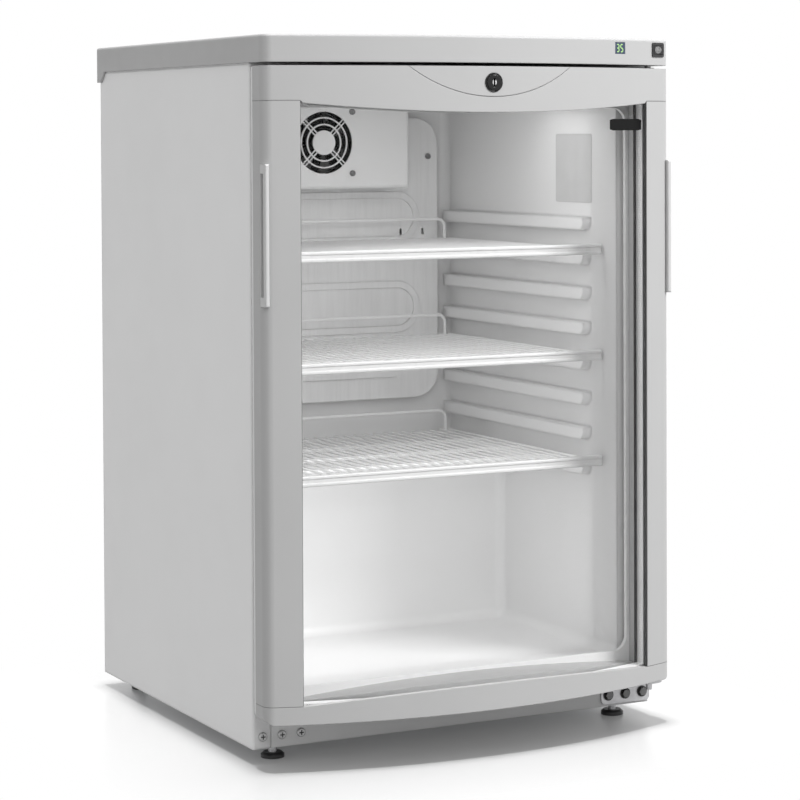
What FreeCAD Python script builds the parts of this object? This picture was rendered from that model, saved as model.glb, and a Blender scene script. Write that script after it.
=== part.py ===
import FreeCAD, Part
import math
import os
import re
import Sketcher

# Worktop-height beverage cooler with one bowed glass door.
# Frame: +Z up, front towards -Y, origin on the floor under the middle of the whole object.

# Driving sizes in millimetres, and a few counts and angles
SIZES = {
    # whole object
    "overall_height": 850,
    "overall_depth": 602,
    "cabinet_width": 542,
    "door_overhang": 3,
    "bow_depth": 50,
    "door_edge_depth": 45,
    "door_corner_radius": 15,
    "lock_proud": 2,
    "rear_lip_reach": 5,
    "leg_height": 17.5,
    "plinth_height": 37,
    "worktop_height": 32,
    "worktop_gap": 4,
    # clearances
    "fit_gap": 0.3,
    "seat_gap": 0.1,
    "run_gap": 0.05,
    "overrun": 2,
    # cabinet sheet metal
    "sheet": 1,
    "flange_width": 23,
    "bend_radius": 3,
    "rear_return": 15,
    "front_rail_height": 42.5,
    "front_rail_foot": 22,
    "pan_sheet": 1.2,
    "pan_edge": 12,
    "back_recess": 14,
    # liner and insulation
    "side_insulation": 46,
    "liner_wall": 2.5,
    "back_insulation": 27,
    "floor_rise": 25.5,
    "ceiling_drop": 33,
    "rim_top_width": 15,
    "machine_depth": 167.5,
    "hump_height": 218,
    "hump_insulation": 30,
    "liner_cove": 12,
    "ledge_rise": 18,
    "ledge_headroom": 157.5,
    "ledge_count": 8,
    "ledge_height": 16,
    "ledge_reach": 12,
    "ledge_front": 62,
    "ledge_rear_gap": 12,
    # shelves
    "shelf_every": 3,
    "shelf_side_gap": 4,
    "shelf_front": 37,
    "shelf_rear_gap": 30,
    "bar_diameter": 5,
    "bar_count": 5,
    "wire_diameter": 3,
    "wire_side_gap": 12,
    "wire_count": 30,
    "rail_rise": 28,
    "rail_bend": 10,
    "trim_side_gap": 3,
    "trim_height": 13.2,
    "trim_bead": 3.6,
    "trim_depth": 9,
    "trim_wall": 3.4,
    "trim_lug": 1,
    "trim_groove": 0.9,
    # worktop
    "worktop_wall": 3,
    "worktop_skin": 4,
    "worktop_edge": 3,
    "worktop_rib": 4,
    "front_bay": 63,
    "lip_drop": 14,
    "lip_run": 26,
    "cover_sheet": 2,
    # display and switch
    "display_inset": 86.5,
    "display_drop": 12,
    "display_width": 17,
    "display_height": 14,
    "display_lens": 1.5,
    "display_depth": 24,
    "display_border": 4,
    "switch_inset": 21,
    "switch_drop": 13,
    "switch_width": 22,
    "switch_height": 17.5,
    "switch_depth": 20,
    "switch_wall": 2.1,
    "switch_proud": 1.5,
    "rocker_tilt": 8,
    "rocker_pin": 2.4,
    # door
    "gasket_depth": 9.7,
    "rear_frame_depth": 6,
    "cap_wall": 3,
    "top_cap_height": 40,
    "top_cap_arch": 14,
    "top_cap_step": 3,
    "bottom_cap_height": 21,
    "bottom_cap_arch": 10,
    "bottom_cap_corner": 11,
    "stile_width": 41,
    "stile_wall": 2.5,
    "glass_setback": 7,
    "glass_thickness": 4,
    "glass_bite": 7,
    "glass_end_bite": 5,
    "spacer_depth": 14,
    "spacer_width": 6,
    "frame_lap": 4,
    "frame_top_drop": 8,
    "frame_round": 18,
    "gasket_width": 16,
    "gasket_side": 21,
    "gasket_base": 2,
    "gasket_web": 7,
    "gasket_magnet": 12,
    "gasket_dart": 4,
    "gasket_groove": 4,
    "gasket_rise": 7.5,
    "gasket_drop": 13,
    # grip handles
    "handle_drop": 113,
    "handle_length": 164,
    "handle_end": 11,
    "handle_width": 5.5,
    "handle_proud": 6.5,
    "handle_lip": 6,
    "handle_rear": 36,
    "handle_rim": 2,
    "handle_wall": 2,
    "handle_nose": 2,
    # lock
    "lock_drop": 19,
    "lock_diameter": 19,
    "lock_bezel": 23,
    "lock_sleeve": 21,
    "lock_length": 21,
    "lock_spigot": 8,
    "key_width": 2.5,
    "key_height": 10,
    "key_depth": 6,
    "cam_length": 31,
    "cam_width": 12,
    "cam_thickness": 3,
    "crescent_half": 108,
    "crescent_drop": 35.4,
    "crescent_depth": 1.5,
    "crescent_line": 0.7,
    # hinges
    "hinge_side": 20,
    "hinge_reach": 28,
    "hinge_pin": 8,
    "hinge_pin_grip": 11,
    "hinge_pin_tail": 10,
    "hinge_collar": 12,
    "bush_outer": 12,
    "bush_length": 11.5,
    "bush_flange": 16,
    "bush_flange_thickness": 1.5,
    "bracket_plate": 3,
    "bracket_margin": 10,
    "bracket_rise": 2.5,
    "bracket_corner": 6,
    "arm_radius": 16,
    "bolt_inset": 12,
    "bolt_pitch": 24.5,
    "bolt_rise": 14.5,
    "bolt_shank": 6,
    "bolt_head": 11,
    "bolt_head_height": 4,
    "bolt_flange": 14,
    "bolt_flange_height": 1.2,
    "bolt_length": 14,
    "top_plate_length": 100,
    # feet
    "foot_inset": 37,
    "foot_front": 28,
    "foot_rear": 42,
    "foot_diameter": 28,
    "foot_base": 6.5,
    "stud_diameter": 10,
    "stud_over": 9.3,
    "nut_diameter": 18,
    "nut_height": 10,
    # cooling inside
    "plate_side_gap": 22,
    "plate_rise": 70,
    "plate_drop": 29,
    "plate_radius": 35,
    "plate_thickness": 1.6,
    "plate_stand": 12,
    "channel_width": 9,
    "channel_rise": 2.5,
    "channel_pitch": 62,
    "channel_margin": 34,
    "screw_head": 8,
    "screw_head_height": 2.5,
    "screw_shank": 4,
    "sleeve_diameter": 10,
    "plate_screw_inset": 15,
    "plate_screw_drop": 53,
    "hook_x": 144,
    "hook_pitch": 34,
    "hook_drop": 153,
    "hook_width": 3.5,
    "hook_height": 8.5,
    "housing_half": 128,
    "housing_height": 124,
    "housing_depth": 78,
    "housing_wall": 2,
    "housing_corner": 6,
    "fan_drop": 62,
    "fan_size": 92,
    "fan_spacing": 82.5,
    "fan_depth": 25,
    "fan_opening": 87,
    "fan_hub": 34,
    "fan_strut": 5,
    "fan_back": 5,
    "fan_shaft": 4,
    "fan_blade_tip": 40.5,
    "fan_blades": 7,
    "fan_blade_pitch": 38,
    "fan_blade_chord": 21,
    "fan_blade_thickness": 1.4,
    "slot_first": 16.5,
    "slot_width": 7,
    "slot_pitch": 9,
    "slot_spoke": 5.8,
    "slot_rib": 1.5,
    "lamp_half": 60,
    "lamp_front": 60,
    "lamp_depth": 34,
    "lamp_height": 12,
    "lamp_round": 5,
    # machine space
    "pot_x": 80,
    "pot_rear": 78,
    "pot_diameter": 146,
    "pot_height": 150,
    "pot_seam": 84,
    "pot_seam_width": 5,
    "pot_seam_height": 4,
    "pot_round": 26,
    "pot_foot_half": 100,
    "pot_foot_depth": 84,
    "pot_foot_sheet": 3,
    "mount_x": 86,
    "mount_y": 30,
    "mount_diameter": 22,
    "mount_height": 16,
    "mount_bolt": 7,
    "terminal_width": 44,
    "terminal_depth": 62,
    "terminal_lift": 34,
    "gland_diameter": 16,
    "gland_bore": 8,
    "gland_length": 12,
    "gland_rise": 20,
    "tray_half": 84,
    "tray_depth": 110,
    "tray_height": 26,
    "tray_wall": 2,
    "condenser_tube": 4.8,
    "condenser_inset": 57,
    "condenser_rise": 34.5,
    "condenser_drop": 86,
    "condenser_runs": 9,
    "condenser_stand": 6,
    "condenser_wire": 1.6,
    "condenser_wire_pitch": 22,
    "condenser_wire_over": 14,
    "clip_width": 12,
    "clip_half_height": 7,
    "clip_inset": 64,
    "drier_x": -110,
    "drier_diameter": 18,
    "drier_length": 90,
    "drier_rise": 70,
    "pipe_diameter": 6,
    "pipe_bend": 14,
}

# Sizes worked out from the driving ones
FORMULAS = {
    "half_cabinet": "cabinet_width / 2",
    "half_door": "half_cabinet + door_overhang",
    "front_y": "lock_proud - overall_depth / 2",
    "rear_y": "overall_depth / 2",
    "bow_radius": "(half_door ^ 2 + bow_depth ^ 2) / (2 * bow_depth)",
    "bow_centre": "front_y + bow_radius",
    "flange_y": "front_y + bow_depth + door_edge_depth",
    "side_rear": "rear_y - rear_lip_reach",
    "cabinet_top": "overall_height - worktop_height",
    "door_top": "cabinet_top - worktop_gap",
    "door_bottom": "leg_height + plinth_height",
    "door_back": "flange_y - fit_gap - gasket_depth",
    "frame_front": "door_back - rear_frame_depth",
    "top_seam": "door_top - top_cap_height",
    "bottom_seam": "door_bottom + bottom_cap_height",
    "half_opening": "half_door - stile_width",
    "glass_edge": "half_opening + glass_bite",
    "glass_top": "top_seam - top_cap_step + glass_end_bite",
    "glass_bottom": "bottom_seam - glass_end_bite",
    "glazing_depth": "2 * glass_thickness + spacer_depth",
    "rail_top": "leg_height + front_rail_height",
    "rim_half": "half_cabinet - flange_width - fit_gap",
    "rim_top": "liner_ceiling + rim_top_width",
    "pan_floor": "leg_height + sheet",
    "pan_top": "pan_floor + pan_sheet",
    "back_y": "side_rear - back_recess",
    "back_front": "back_y - sheet",
    "liner_half": "half_cabinet - side_insulation",
    "liner_back": "back_front - back_insulation",
    "liner_floor": "door_bottom + floor_rise",
    "liner_ceiling": "cabinet_top - ceiling_drop",
    "hump_top": "liner_floor + hump_height",
    "machine_wall": "side_rear - machine_depth",
    "hump_y": "machine_wall - hump_insulation - liner_wall",
    "machine_ceiling": "hump_top - liner_wall - hump_insulation",
    "ledge_first": "hump_top + ledge_rise",
    "ledge_pitch": "(liner_ceiling - ledge_headroom - ledge_first) / (ledge_count - 1)",
    "ledge_rear_y": "liner_back - ledge_rear_gap",
    "foam_half": "half_cabinet - sheet - pan_sheet - 2 * fit_gap",
    "shelf_front_y": "flange_y + shelf_front",
    "shelf_rear_y": "liner_back - shelf_rear_gap",
    "shelf_half": "liner_half - shelf_side_gap",
    "wire_half": "liner_half - wire_side_gap",
    "trim_half": "liner_half - trim_side_gap",
    "lock_z": "door_top - lock_drop",
    "handle_low": "door_top - handle_drop - handle_length",
    "handle_root": "half_door - handle_width",
    "handle_front": "bow_centre - sqrt(bow_radius ^ 2 - half_door ^ 2) - handle_proud",
    "handle_back": "flange_y - handle_rear",
    "handle_slot": "handle_front + handle_lip",
    "display_x": "half_door - display_inset",
    "display_z": "overall_height - display_drop",
    "switch_x": "half_door - switch_inset",
    "switch_z": "overall_height - switch_drop",
    "gasket_outer": "half_cabinet - gasket_side",
    "gasket_low": "door_bottom + gasket_rise",
    "gasket_high": "door_top - gasket_drop",
    "bolt_first": "half_cabinet - bolt_inset",
    "bolt_z": "leg_height + bolt_rise",
    "bracket_inner": "bolt_first - 2 * bolt_pitch - bracket_margin",
    "bracket_low": "leg_height + bracket_rise",
    "foot_x": "half_cabinet - foot_inset",
    "stud_top": "pan_top + nut_height + stud_over",
    "wire_pitch": "2 * wire_half / (wire_count - 1)",
    "rail_half": "wire_half - wire_pitch / 2",
    "hinge_x": "half_door - hinge_side",
    "hinge_y": "flange_y - hinge_reach",
    "arm_top": "door_bottom - bush_flange_thickness - fit_gap",
    "arm_bottom": "arm_top - bracket_plate",
    "plate_half": "liner_half - plate_side_gap",
    "plate_bottom": "hump_top + plate_rise",
    "plate_top": "liner_ceiling - plate_drop",
    "plate_screw_x": "plate_half - plate_screw_inset",
    "plate_screw_high": "plate_top - plate_screw_drop",
    "plate_screw_low": "plate_bottom + plate_screw_drop",
    "plate_back": "liner_back - plate_stand",
    "plate_front": "plate_back - plate_thickness",
    "housing_y": "liner_back - housing_depth",
    "housing_bottom": "liner_ceiling - housing_height",
    "fan_z": "liner_ceiling - fan_drop",
    "fan_y": "housing_y + housing_wall",
    "foot_front_y": "flange_y + foot_front",
    "foot_rear_y": "side_rear - foot_rear",
    "pot_y": "side_rear - pot_rear - sheet",
    "mount_low": "pan_top",
    "pot_foot_z": "mount_low + mount_height",
    "pot_z": "pot_foot_z + pot_foot_sheet",
    "tray_z": "pot_z + pot_height",
    "condenser_y": "back_y + condenser_stand",
    "condenser_half": "half_cabinet - condenser_inset",
    "condenser_low": "machine_ceiling + condenser_rise",
    "condenser_high": "cabinet_top - condenser_drop",
    "condenser_pitch": "(condenser_high - condenser_low) / (condenser_runs - 1)",
    "clip_x": "condenser_half - clip_inset",
    "drier_low": "pan_top + drier_rise",
}

doc = FreeCAD.newDocument("BeverageCooler")
sheet = doc.addObject("Spreadsheet::Sheet", "Sizes")
for row, (alias, number) in enumerate(SIZES.items(), start=1):
    sheet.set(f"A{row}", alias)
    sheet.set(f"B{row}", str(number))
    sheet.setAlias(f"B{row}", alias)
doc.recompute()

WORD = re.compile(r"[a-z_]{2,}[a-z0-9_]*")
PLANES = {"XY": ("XY_Plane", 1), "XZ": ("XZ_Plane", -1), "YZ": ("YZ_Plane", 1)}
sub_parts = []


# Formulas, values and outlines

def cell(formula):
    """A formula in the names above, written out as references to the sheet."""
    text = str(formula)
    while any(word in FORMULAS for word in WORD.findall(text)):
        text = WORD.sub(lambda found: f"({FORMULAS[found[0]]})" if found[0] in FORMULAS else found[0], text)
    return WORD.sub(lambda found: f"Sizes.{found[0]}" if found[0] in SIZES else found[0], text)


def value(formula):
    """The number that a formula gives with the sheet's present sizes."""
    result = sheet.evalExpression(cell(formula))
    return float(getattr(result, "Value", result))


def rectangle(x_low, y_low, x_high, y_high):
    return [(x_low, y_low), (x_high, y_low), (x_high, y_high), (x_low, y_high)]


def rounded(x_low, y_low, x_high, y_high, radius):
    """A rectangle with four round corners, anticlockwise."""
    return [
        (f"({x_low}) + {radius}", y_low),
        (f"({x_high}) - {radius}", y_low, radius, 1),
        (x_high, f"({y_low}) + {radius}"),
        (x_high, f"({y_high}) - {radius}", radius, 1),
        (f"({x_high}) - {radius}", y_high),
        (f"({x_low}) + {radius}", y_high, radius, 1),
        (x_low, f"({y_high}) - {radius}"),
        (x_low, f"({y_low}) + {radius}", radius, 1),
    ]


def square(x, y, width):
    half = f"(({width}) / 2)"
    return rectangle(f"({x}) - {half}", f"({y}) - {half}", f"({x}) + {half}", f"({y}) + {half}")


def circle(x, y, diameter):
    return ("circle", x, y, f"({diameter}) / 2")


def polygon(x, y, diameter, sides):
    """A section with flat sides inside a circle, for small fasteners and their holes."""
    radius = f"(({diameter}) / 2)"
    step = 360 / sides
    turns = [step * n for n in range(sides)]
    return [(f"({x}) + {radius} * cos({turn})", f"({y}) + {radius} * sin({turn})") for turn in turns]


def hexagon(x, y, diameter):
    """A six-sided section inside a circle, flat at the top and bottom."""
    return polygon(x, y, diameter, 6)


def bolt_hole(x, y, shank):
    """An eight-sided hole that clears an eight-sided shank all round."""
    return polygon(x, y, f"{shank} + 2 * seat_gap", 8)


def mirrored(loop):
    """The same loop on the other side of the middle plane."""
    flipped = []
    for point in loop:
        bend = (point[2], -point[3]) if len(point) > 2 else ()
        flipped.append((f"-({point[0]})", point[1]) + bend)
    return flipped


def bow_y(x, inset="0"):
    """The y of the bowed front, drawn inwards by inset, at a given x."""
    return f"(bow_centre - sqrt((bow_radius - ({inset})) ^ 2 - ({x}) ^ 2))"


def door_plan(inset, rear):
    """The bowed plan shared by the door and the worktop, drawn inwards by inset."""
    half = f"(half_door - ({inset}))"
    bow = f"(bow_radius - ({inset}))"
    corner = f"(door_corner_radius - ({inset}))"
    corner_y = f"(bow_centre - sqrt(({bow} - {corner}) ^ 2 - ({half} - {corner}) ^ 2))"
    reach = f"({bow} / ({bow} - {corner}))"
    touch_x = f"(({half} - {corner}) * {reach})"
    touch_y = f"(bow_centre - (bow_centre - {corner_y}) * {reach})"
    return [
        (half, rear),
        (half, corner_y, corner, -1),
        (touch_x, touch_y, bow, -1),
        (f"-{touch_x}", touch_y, corner, -1),
        (f"-{half}", corner_y),
        (f"-{half}", rear),
    ]


def bowed_slab(outer, inner, half):
    """A slice of the bow between two insets, from -half to half."""
    return [
        (half, bow_y(half, outer), f"bow_radius - ({outer})", -1),
        (f"-({half})", bow_y(half, outer)),
        (f"-({half})", bow_y(half, inner), f"bow_radius - ({inner})", 1),
        (half, bow_y(half, inner)),
    ]


# Sketches and features

def arc(start, finish, radius, turn):
    """The short arc from start to finish, anticlockwise for a turn of 1."""
    chord = finish - start
    height = math.sqrt(max(radius ** 2 - (chord.Length / 2) ** 2, 0))
    side = FreeCAD.Vector(-chord.y, chord.x, 0).normalize()
    centre = (start + finish) / 2 + side * (height * turn)
    ends = (start, finish) if turn > 0 else (finish, start)
    angles = [math.atan2(end.y - centre.y, end.x - centre.x) for end in ends]
    return Part.ArcOfCircle(Part.Circle(centre, FreeCAD.Vector(0, 0, 1), radius), *angles)


def draw(sketch, loop, closed=True):
    """Draws one loop, and ties each corner and radius in it to the sheet."""
    rules = []
    if loop[0] == "circle":
        _, x, y, radius = loop
        centre = FreeCAD.Vector(value(x), value(y), 0)
        item = sketch.addGeometry(Part.Circle(centre, FreeCAD.Vector(0, 0, 1), value(radius)))
        rules.append(("DistanceX", (-1, 1, item, 3), x))
        rules.append(("DistanceY", (-1, 1, item, 3), y))
        rules.append(("Radius", (item,), radius))
    else:
        corners = [FreeCAD.Vector(value(point[0]), value(point[1]), 0) for point in loop]
        ends = []
        count = len(loop) if closed else len(loop) - 1
        for number in range(count):
            start, finish = corners[number], corners[(number + 1) % len(loop)]
            if len(loop[number]) == 2:
                item = sketch.addGeometry(Part.LineSegment(start, finish))
                ends.append((item, 1, 2))
            else:
                radius, turn = loop[number][2:]
                item = sketch.addGeometry(arc(start, finish, value(radius), turn))
                ends.append((item, 1, 2) if turn > 0 else (item, 2, 1))
                rules.append(("Radius", (item,), radius))
            rules.append(("DistanceX", (-1, 1, item, ends[-1][1]), loop[number][0]))
            rules.append(("DistanceY", (-1, 1, item, ends[-1][1]), loop[number][1]))
        if not closed:
            rules.append(("DistanceX", (-1, 1, ends[-1][0], ends[-1][2]), loop[-1][0]))
            rules.append(("DistanceY", (-1, 1, ends[-1][0], ends[-1][2]), loop[-1][1]))
        for number in range(count if closed else count - 1):
            item, _, leave = ends[number]
            following, enter, _ = ends[(number + 1) % count]
            sketch.addConstraint(Sketcher.Constraint("Coincident", item, leave, following, enter))
    first = sketch.ConstraintCount
    sketch.addConstraint([Sketcher.Constraint(kind, *points, value(size)) for kind, points, size in rules])
    for number, (_, _, size) in enumerate(rules):
        sketch.setExpression(f"Constraints[{first + number}]", cell(size))


def origin_feature(body, role):
    return next(feature for feature in body.Origin.OriginFeatures if feature.Role == role)


def new_body(label):
    body = doc.addObject("PartDesign::Body", label)
    body.Label = label
    return body


def sub_part(thing, label):
    """Names a finished object and lists it as one of the cooler's pieces."""
    thing.Label = label
    sub_parts.append(thing)
    return thing


def add_sketch(body, plane, start, loops, closed=True):
    role, sign = PLANES[plane]
    sketch = body.newObject("Sketcher::SketchObject", f"{body.Name}_sketch")
    sketch.AttachmentSupport = [(origin_feature(body, role), "")]
    sketch.MapMode = "FlatFace"
    sketch.setExpression("AttachmentOffset.Base.z", cell(f"{sign} * ({start})"))
    for loop in loops:
        draw(sketch, loop, closed)
    return sketch


def pad(body, plane, start, depth, *loops):
    """Adds the prism of the loops, from start along the plane's positive axis."""
    feature = body.newObject("PartDesign::Pad", f"{body.Name}_pad")
    feature.Profile = add_sketch(body, plane, start, loops)
    feature.setExpression("Length", cell(depth))
    feature.Reversed = PLANES[plane][1] < 0
    doc.recompute()
    return feature


def pocket(body, plane, start, depth, *loops):
    """Cuts the prism of the loops, from start along the plane's positive axis."""
    before = body.Shape.Volume
    feature = body.newObject("PartDesign::Pocket", f"{body.Name}_pocket")
    feature.Profile = add_sketch(body, plane, start, loops)
    feature.setExpression("Length", cell(depth))
    feature.Reversed = PLANES[plane][1] > 0
    doc.recompute()
    if not body.Shape.Volume < before:
        raise RuntimeError(f"a pocket in {body.Label} cut nothing")
    return feature


def revolve(body, loop):
    """Turns a profile of radius and height round the body's Z axis."""
    feature = body.newObject("PartDesign::Revolution", f"{body.Name}_revolution")
    sketch = add_sketch(body, "XZ", "0", [loop])
    feature.Profile = sketch
    feature.ReferenceAxis = (sketch, ["V_Axis"])
    feature.Angle = 360
    doc.recompute()
    return feature


def edge_names(shape, chosen):
    return [f"Edge{number}" for number, edge in enumerate(shape.Edges, start=1) if chosen(edge)]


def dress(body, kind, amount, chosen):
    """Rounds (Fillet) or bevels (Chamfer) the chosen edges of a body."""
    base = body.Tip
    feature = body.newObject(f"PartDesign::{kind}", f"{body.Name}_{kind.lower()}")
    feature.Base = (base, edge_names(base.Shape, chosen))
    feature.setExpression("Radius" if kind == "Fillet" else "Size", cell(amount))
    doc.recompute()
    return feature


def lies_at(edge, axis, formula):
    """True where the whole edge lies at one x, y or z."""
    level = value(formula)
    low = getattr(edge.BoundBox, f"{axis}Min")
    high = getattr(edge.BoundBox, f"{axis}Max")
    return abs(low - level) < 1e-4 and abs(high - level) < 1e-4


def place(thing, x="0", y="0", z="0", turn=None):
    """Puts an object at x, y, z, turned about Z by an angle where one is given."""
    for axis, formula in zip("xyz", (x, y, z)):
        thing.setExpression(f"Placement.Base.{axis}", cell(formula))
    if turn is not None:
        thing.setExpression("Placement.Rotation.Angle", cell(turn))
    doc.recompute()
    return thing


def joined(kind, label, base, tool):
    """A Part boolean of two objects: Cut, Fuse or Common."""
    result = doc.addObject(f"Part::{kind}", label)
    result.Base = base
    result.Tool = tool
    doc.recompute()
    return result


def copies(label, *sets):
    """Separate copies of finished pattern pieces: each set is one pattern and its placements."""
    group = doc.addObject("Part::Feature", label)
    solids = []
    for pattern, places in sets:
        for place_of_copy in places:
            solid = pattern.Shape.copy()
            solid.Placement = place_of_copy.multiply(solid.Placement)
            solids.append(solid)
    group.Shape = Part.makeCompound(solids)
    return group


def spot(x, y, z, axis=(0, 0, 1), angle=0):
    position = FreeCAD.Vector(value(x), value(y), value(z))
    return FreeCAD.Placement(position, FreeCAD.Rotation(FreeCAD.Vector(*axis), angle))


def hexagon_wire(centre, along, radius):
    """A six-sided outline across a direction, for thin wire and pipe that is swept along a path."""
    turn = FreeCAD.Rotation(FreeCAD.Vector(0, 0, 1), along)
    corners = [centre + turn.multVec(FreeCAD.Vector(
        radius * math.cos(math.radians(60 * number)), radius * math.sin(math.radians(60 * number)), 0,
    )) for number in range(7)]
    return Part.makePolygon(corners)


def mitred_pipe(route, diameter):
    """A thin six-sided pipe along straight lengths that meet in mitres."""
    along = (route[1] - route[0]).normalize()
    section = hexagon_wire(route[0], along, value(diameter) / 2)
    return Part.makePolygon(route).makePipeShell([section], True, False, 1)


def bent_pipe(points, diameter, bend):
    """A thin pipe through points, each corner eased by short mitred lengths."""
    corners = [FreeCAD.Vector(*(value(part) for part in point)) for point in points]
    route = [corners[0]]
    for before, corner, after in zip(corners, corners[1:], corners[2:]):
        back = (before - corner).normalize()
        ahead = (after - corner).normalize()
        half_turn = back.getAngle(ahead) / 2
        setback = value(bend) / math.tan(half_turn)
        leave, meet = corner + back * setback, corner + ahead * setback
        centre = corner + (back + ahead).normalize() * (value(bend) / math.sin(half_turn))
        for share in (0, 1, 2, 3):
            spoke = leave + (meet - leave) * (share / 3) - centre
            route.append(centre + spoke.normalize() * value(bend))
    route.append(corners[-1])
    return mitred_pipe(route, diameter)


# Cabinet shell

def side_panel(label, right):
    """A folded steel side: wall, rolled front flange and rear return."""
    body = new_body(label)
    loop = [
        ("half_cabinet - flange_width", "flange_y"),
        ("half_cabinet - bend_radius", "flange_y", "bend_radius", 1),
        ("half_cabinet", "flange_y + bend_radius"),
        ("half_cabinet", "side_rear"),
        ("half_cabinet - rear_return", "side_rear"),
        ("half_cabinet - rear_return", "side_rear - sheet"),
        ("half_cabinet - sheet", "side_rear - sheet"),
        ("half_cabinet - sheet", "flange_y + bend_radius", "bend_radius - sheet", -1),
        ("half_cabinet - bend_radius", "flange_y + sheet"),
        ("half_cabinet - flange_width", "flange_y + sheet"),
    ]
    pad(body, "XY", "leg_height", "cabinet_top - sheet - leg_height", loop if right else mirrored(loop))
    bolt = bolt_hole("bolt_first" if right else "-bolt_first", "bolt_z", "bolt_shank")
    pocket(body, "XZ", "flange_y - overrun", "sheet + 2 * overrun", bolt)
    return sub_part(body, label)


def front_rail():
    """The plinth under the door: an angle with the hinge holes of both sides."""
    body = new_body("front_rail")
    half = "half_cabinet - flange_width - fit_gap"
    face = [
        ("flange_y", "leg_height"),
        ("flange_y + front_rail_foot", "leg_height"),
        ("flange_y + front_rail_foot", "pan_floor"),
        ("flange_y + sheet", "pan_floor"),
        ("flange_y + sheet", "rail_top"),
        ("flange_y", "rail_top"),
    ]
    pad(body, "YZ", f"-({half})", f"2 * ({half})", face)
    inner = [f"bolt_first - {number} * bolt_pitch" for number in (1, 2)]
    holes = [bolt_hole(f"{sign} * ({x})", "bolt_z", "bolt_shank") for x in inner for sign in (1, -1)]
    pocket(body, "XZ", "flange_y - overrun", "sheet + 2 * overrun", *holes)
    return sub_part(body, "front_rail")


def base_pan():
    """The floor tray, turned up at both sides, with a hole for each foot stud and compressor mount."""
    body = new_body("base_pan")
    half = "(half_cabinet - sheet - fit_gap)"
    profile = [
        (f"-{half}", "pan_floor"),
        (half, "pan_floor"),
        (half, "pan_floor + pan_edge"),
        (f"{half} - pan_sheet", "pan_floor + pan_edge"),
        (f"{half} - pan_sheet", "pan_top"),
        (f"pan_sheet - {half}", "pan_top"),
        (f"pan_sheet - {half}", "pan_floor + pan_edge"),
        (f"-{half}", "pan_floor + pan_edge"),
    ]
    start = "flange_y + bend_radius + fit_gap"
    pad(body, "XZ", start, f"side_rear - sheet - fit_gap - ({start})", profile)
    holes = [
        polygon(f"{sign} * foot_x", y, "stud_diameter + 1 + 2 * fit_gap", 8)
        for y in ("foot_front_y", "foot_rear_y") for sign in (1, -1)
    ]
    pocket(body, "XY", "pan_floor - overrun", "pan_sheet + 2 * overrun", *holes)
    return sub_part(body, "base_pan")


def back_panel():
    """The rear sheet, stepped forward round the machine space."""
    body = new_body("back_panel")
    half = "half_cabinet - sheet - fit_gap - pan_sheet - fit_gap"
    profile = [
        ("machine_wall", "pan_top"),
        ("machine_wall + sheet", "pan_top"),
        ("machine_wall + sheet", "machine_ceiling - sheet"),
        ("back_y", "machine_ceiling - sheet"),
        ("back_y", "cabinet_top - sheet"),
        ("back_front", "cabinet_top - sheet"),
        ("back_front", "machine_ceiling"),
        ("machine_wall", "machine_ceiling"),
    ]
    pad(body, "YZ", f"-({half})", f"2 * ({half})", profile)
    return sub_part(body, "back_panel")


def top_panel():
    """The sheet over the insulation, folded down between the front flanges."""
    body = new_body("top_panel")
    plan = rectangle("-half_cabinet", "flange_y", "half_cabinet", "back_y")
    pad(body, "XY", "cabinet_top - sheet", "sheet", plan)
    fold = rectangle("-rim_half", "rim_top + fit_gap", "rim_half", "cabinet_top - sheet")
    pad(body, "XZ", "flange_y", "sheet", fold)
    bolts = [bolt_hole("hinge_x", y, "bolt_shank") for y in top_bolt_rows()]
    pocket(body, "XY", "cabinet_top - sheet - overrun", "sheet + 2 * overrun", *bolts)
    return sub_part(body, "top_panel")


def insulation_foam():
    """The foam between the shell and the liner, with room for the front weld nuts."""
    body = new_body("insulation_foam")
    front = "flange_y + liner_wall + fit_gap"
    low = "pan_top + fit_gap"
    outside = [
        (front, low),
        ("machine_wall - fit_gap", low),
        ("machine_wall - fit_gap", "machine_ceiling + fit_gap"),
        ("back_front - fit_gap", "machine_ceiling + fit_gap"),
        ("back_front - fit_gap", "cabinet_top - sheet - fit_gap"),
        (front, "cabinet_top - sheet - fit_gap"),
    ]
    pad(body, "YZ", "-foam_half", "2 * foam_half", outside)
    skin = "liner_wall + fit_gap"
    cavity = [
        ("flange_y", f"liner_floor - ({skin})"),
        (f"hump_y + {skin}", f"liner_floor - ({skin})"),
        (f"hump_y + {skin}", f"hump_top - ({skin})"),
        (f"liner_back + {skin}", f"hump_top - ({skin})"),
        (f"liner_back + {skin}", f"liner_ceiling + {skin}"),
        ("flange_y", f"liner_ceiling + {skin}"),
    ]
    pocket(body, "YZ", f"-(liner_half + {skin})", f"2 * (liner_half + {skin})", cavity)
    nuts = [square(f"{sign} * foot_x", "foot_front_y", "nut_diameter + 2") for sign in (1, -1)]
    pocket(body, "XY", "pan_top", "stud_top - pan_top + fit_gap", *nuts)
    room = "bolt_shank + 2 * fit_gap"
    front_bolts = [
        square(f"{sign} * (bolt_first - {n} * bolt_pitch)", "bolt_z", room)
        for n in range(3)
        for sign in (1, -1)
    ]
    pocket(body, "XZ", "flange_y", "bolt_length", *front_bolts)
    top_bolts = [square("hinge_x", y, room) for y in top_bolt_rows()]
    pocket(body, "XY", "cabinet_top - bolt_length", "bolt_length", *top_bolts)
    return sub_part(body, "insulation_foam")


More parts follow.
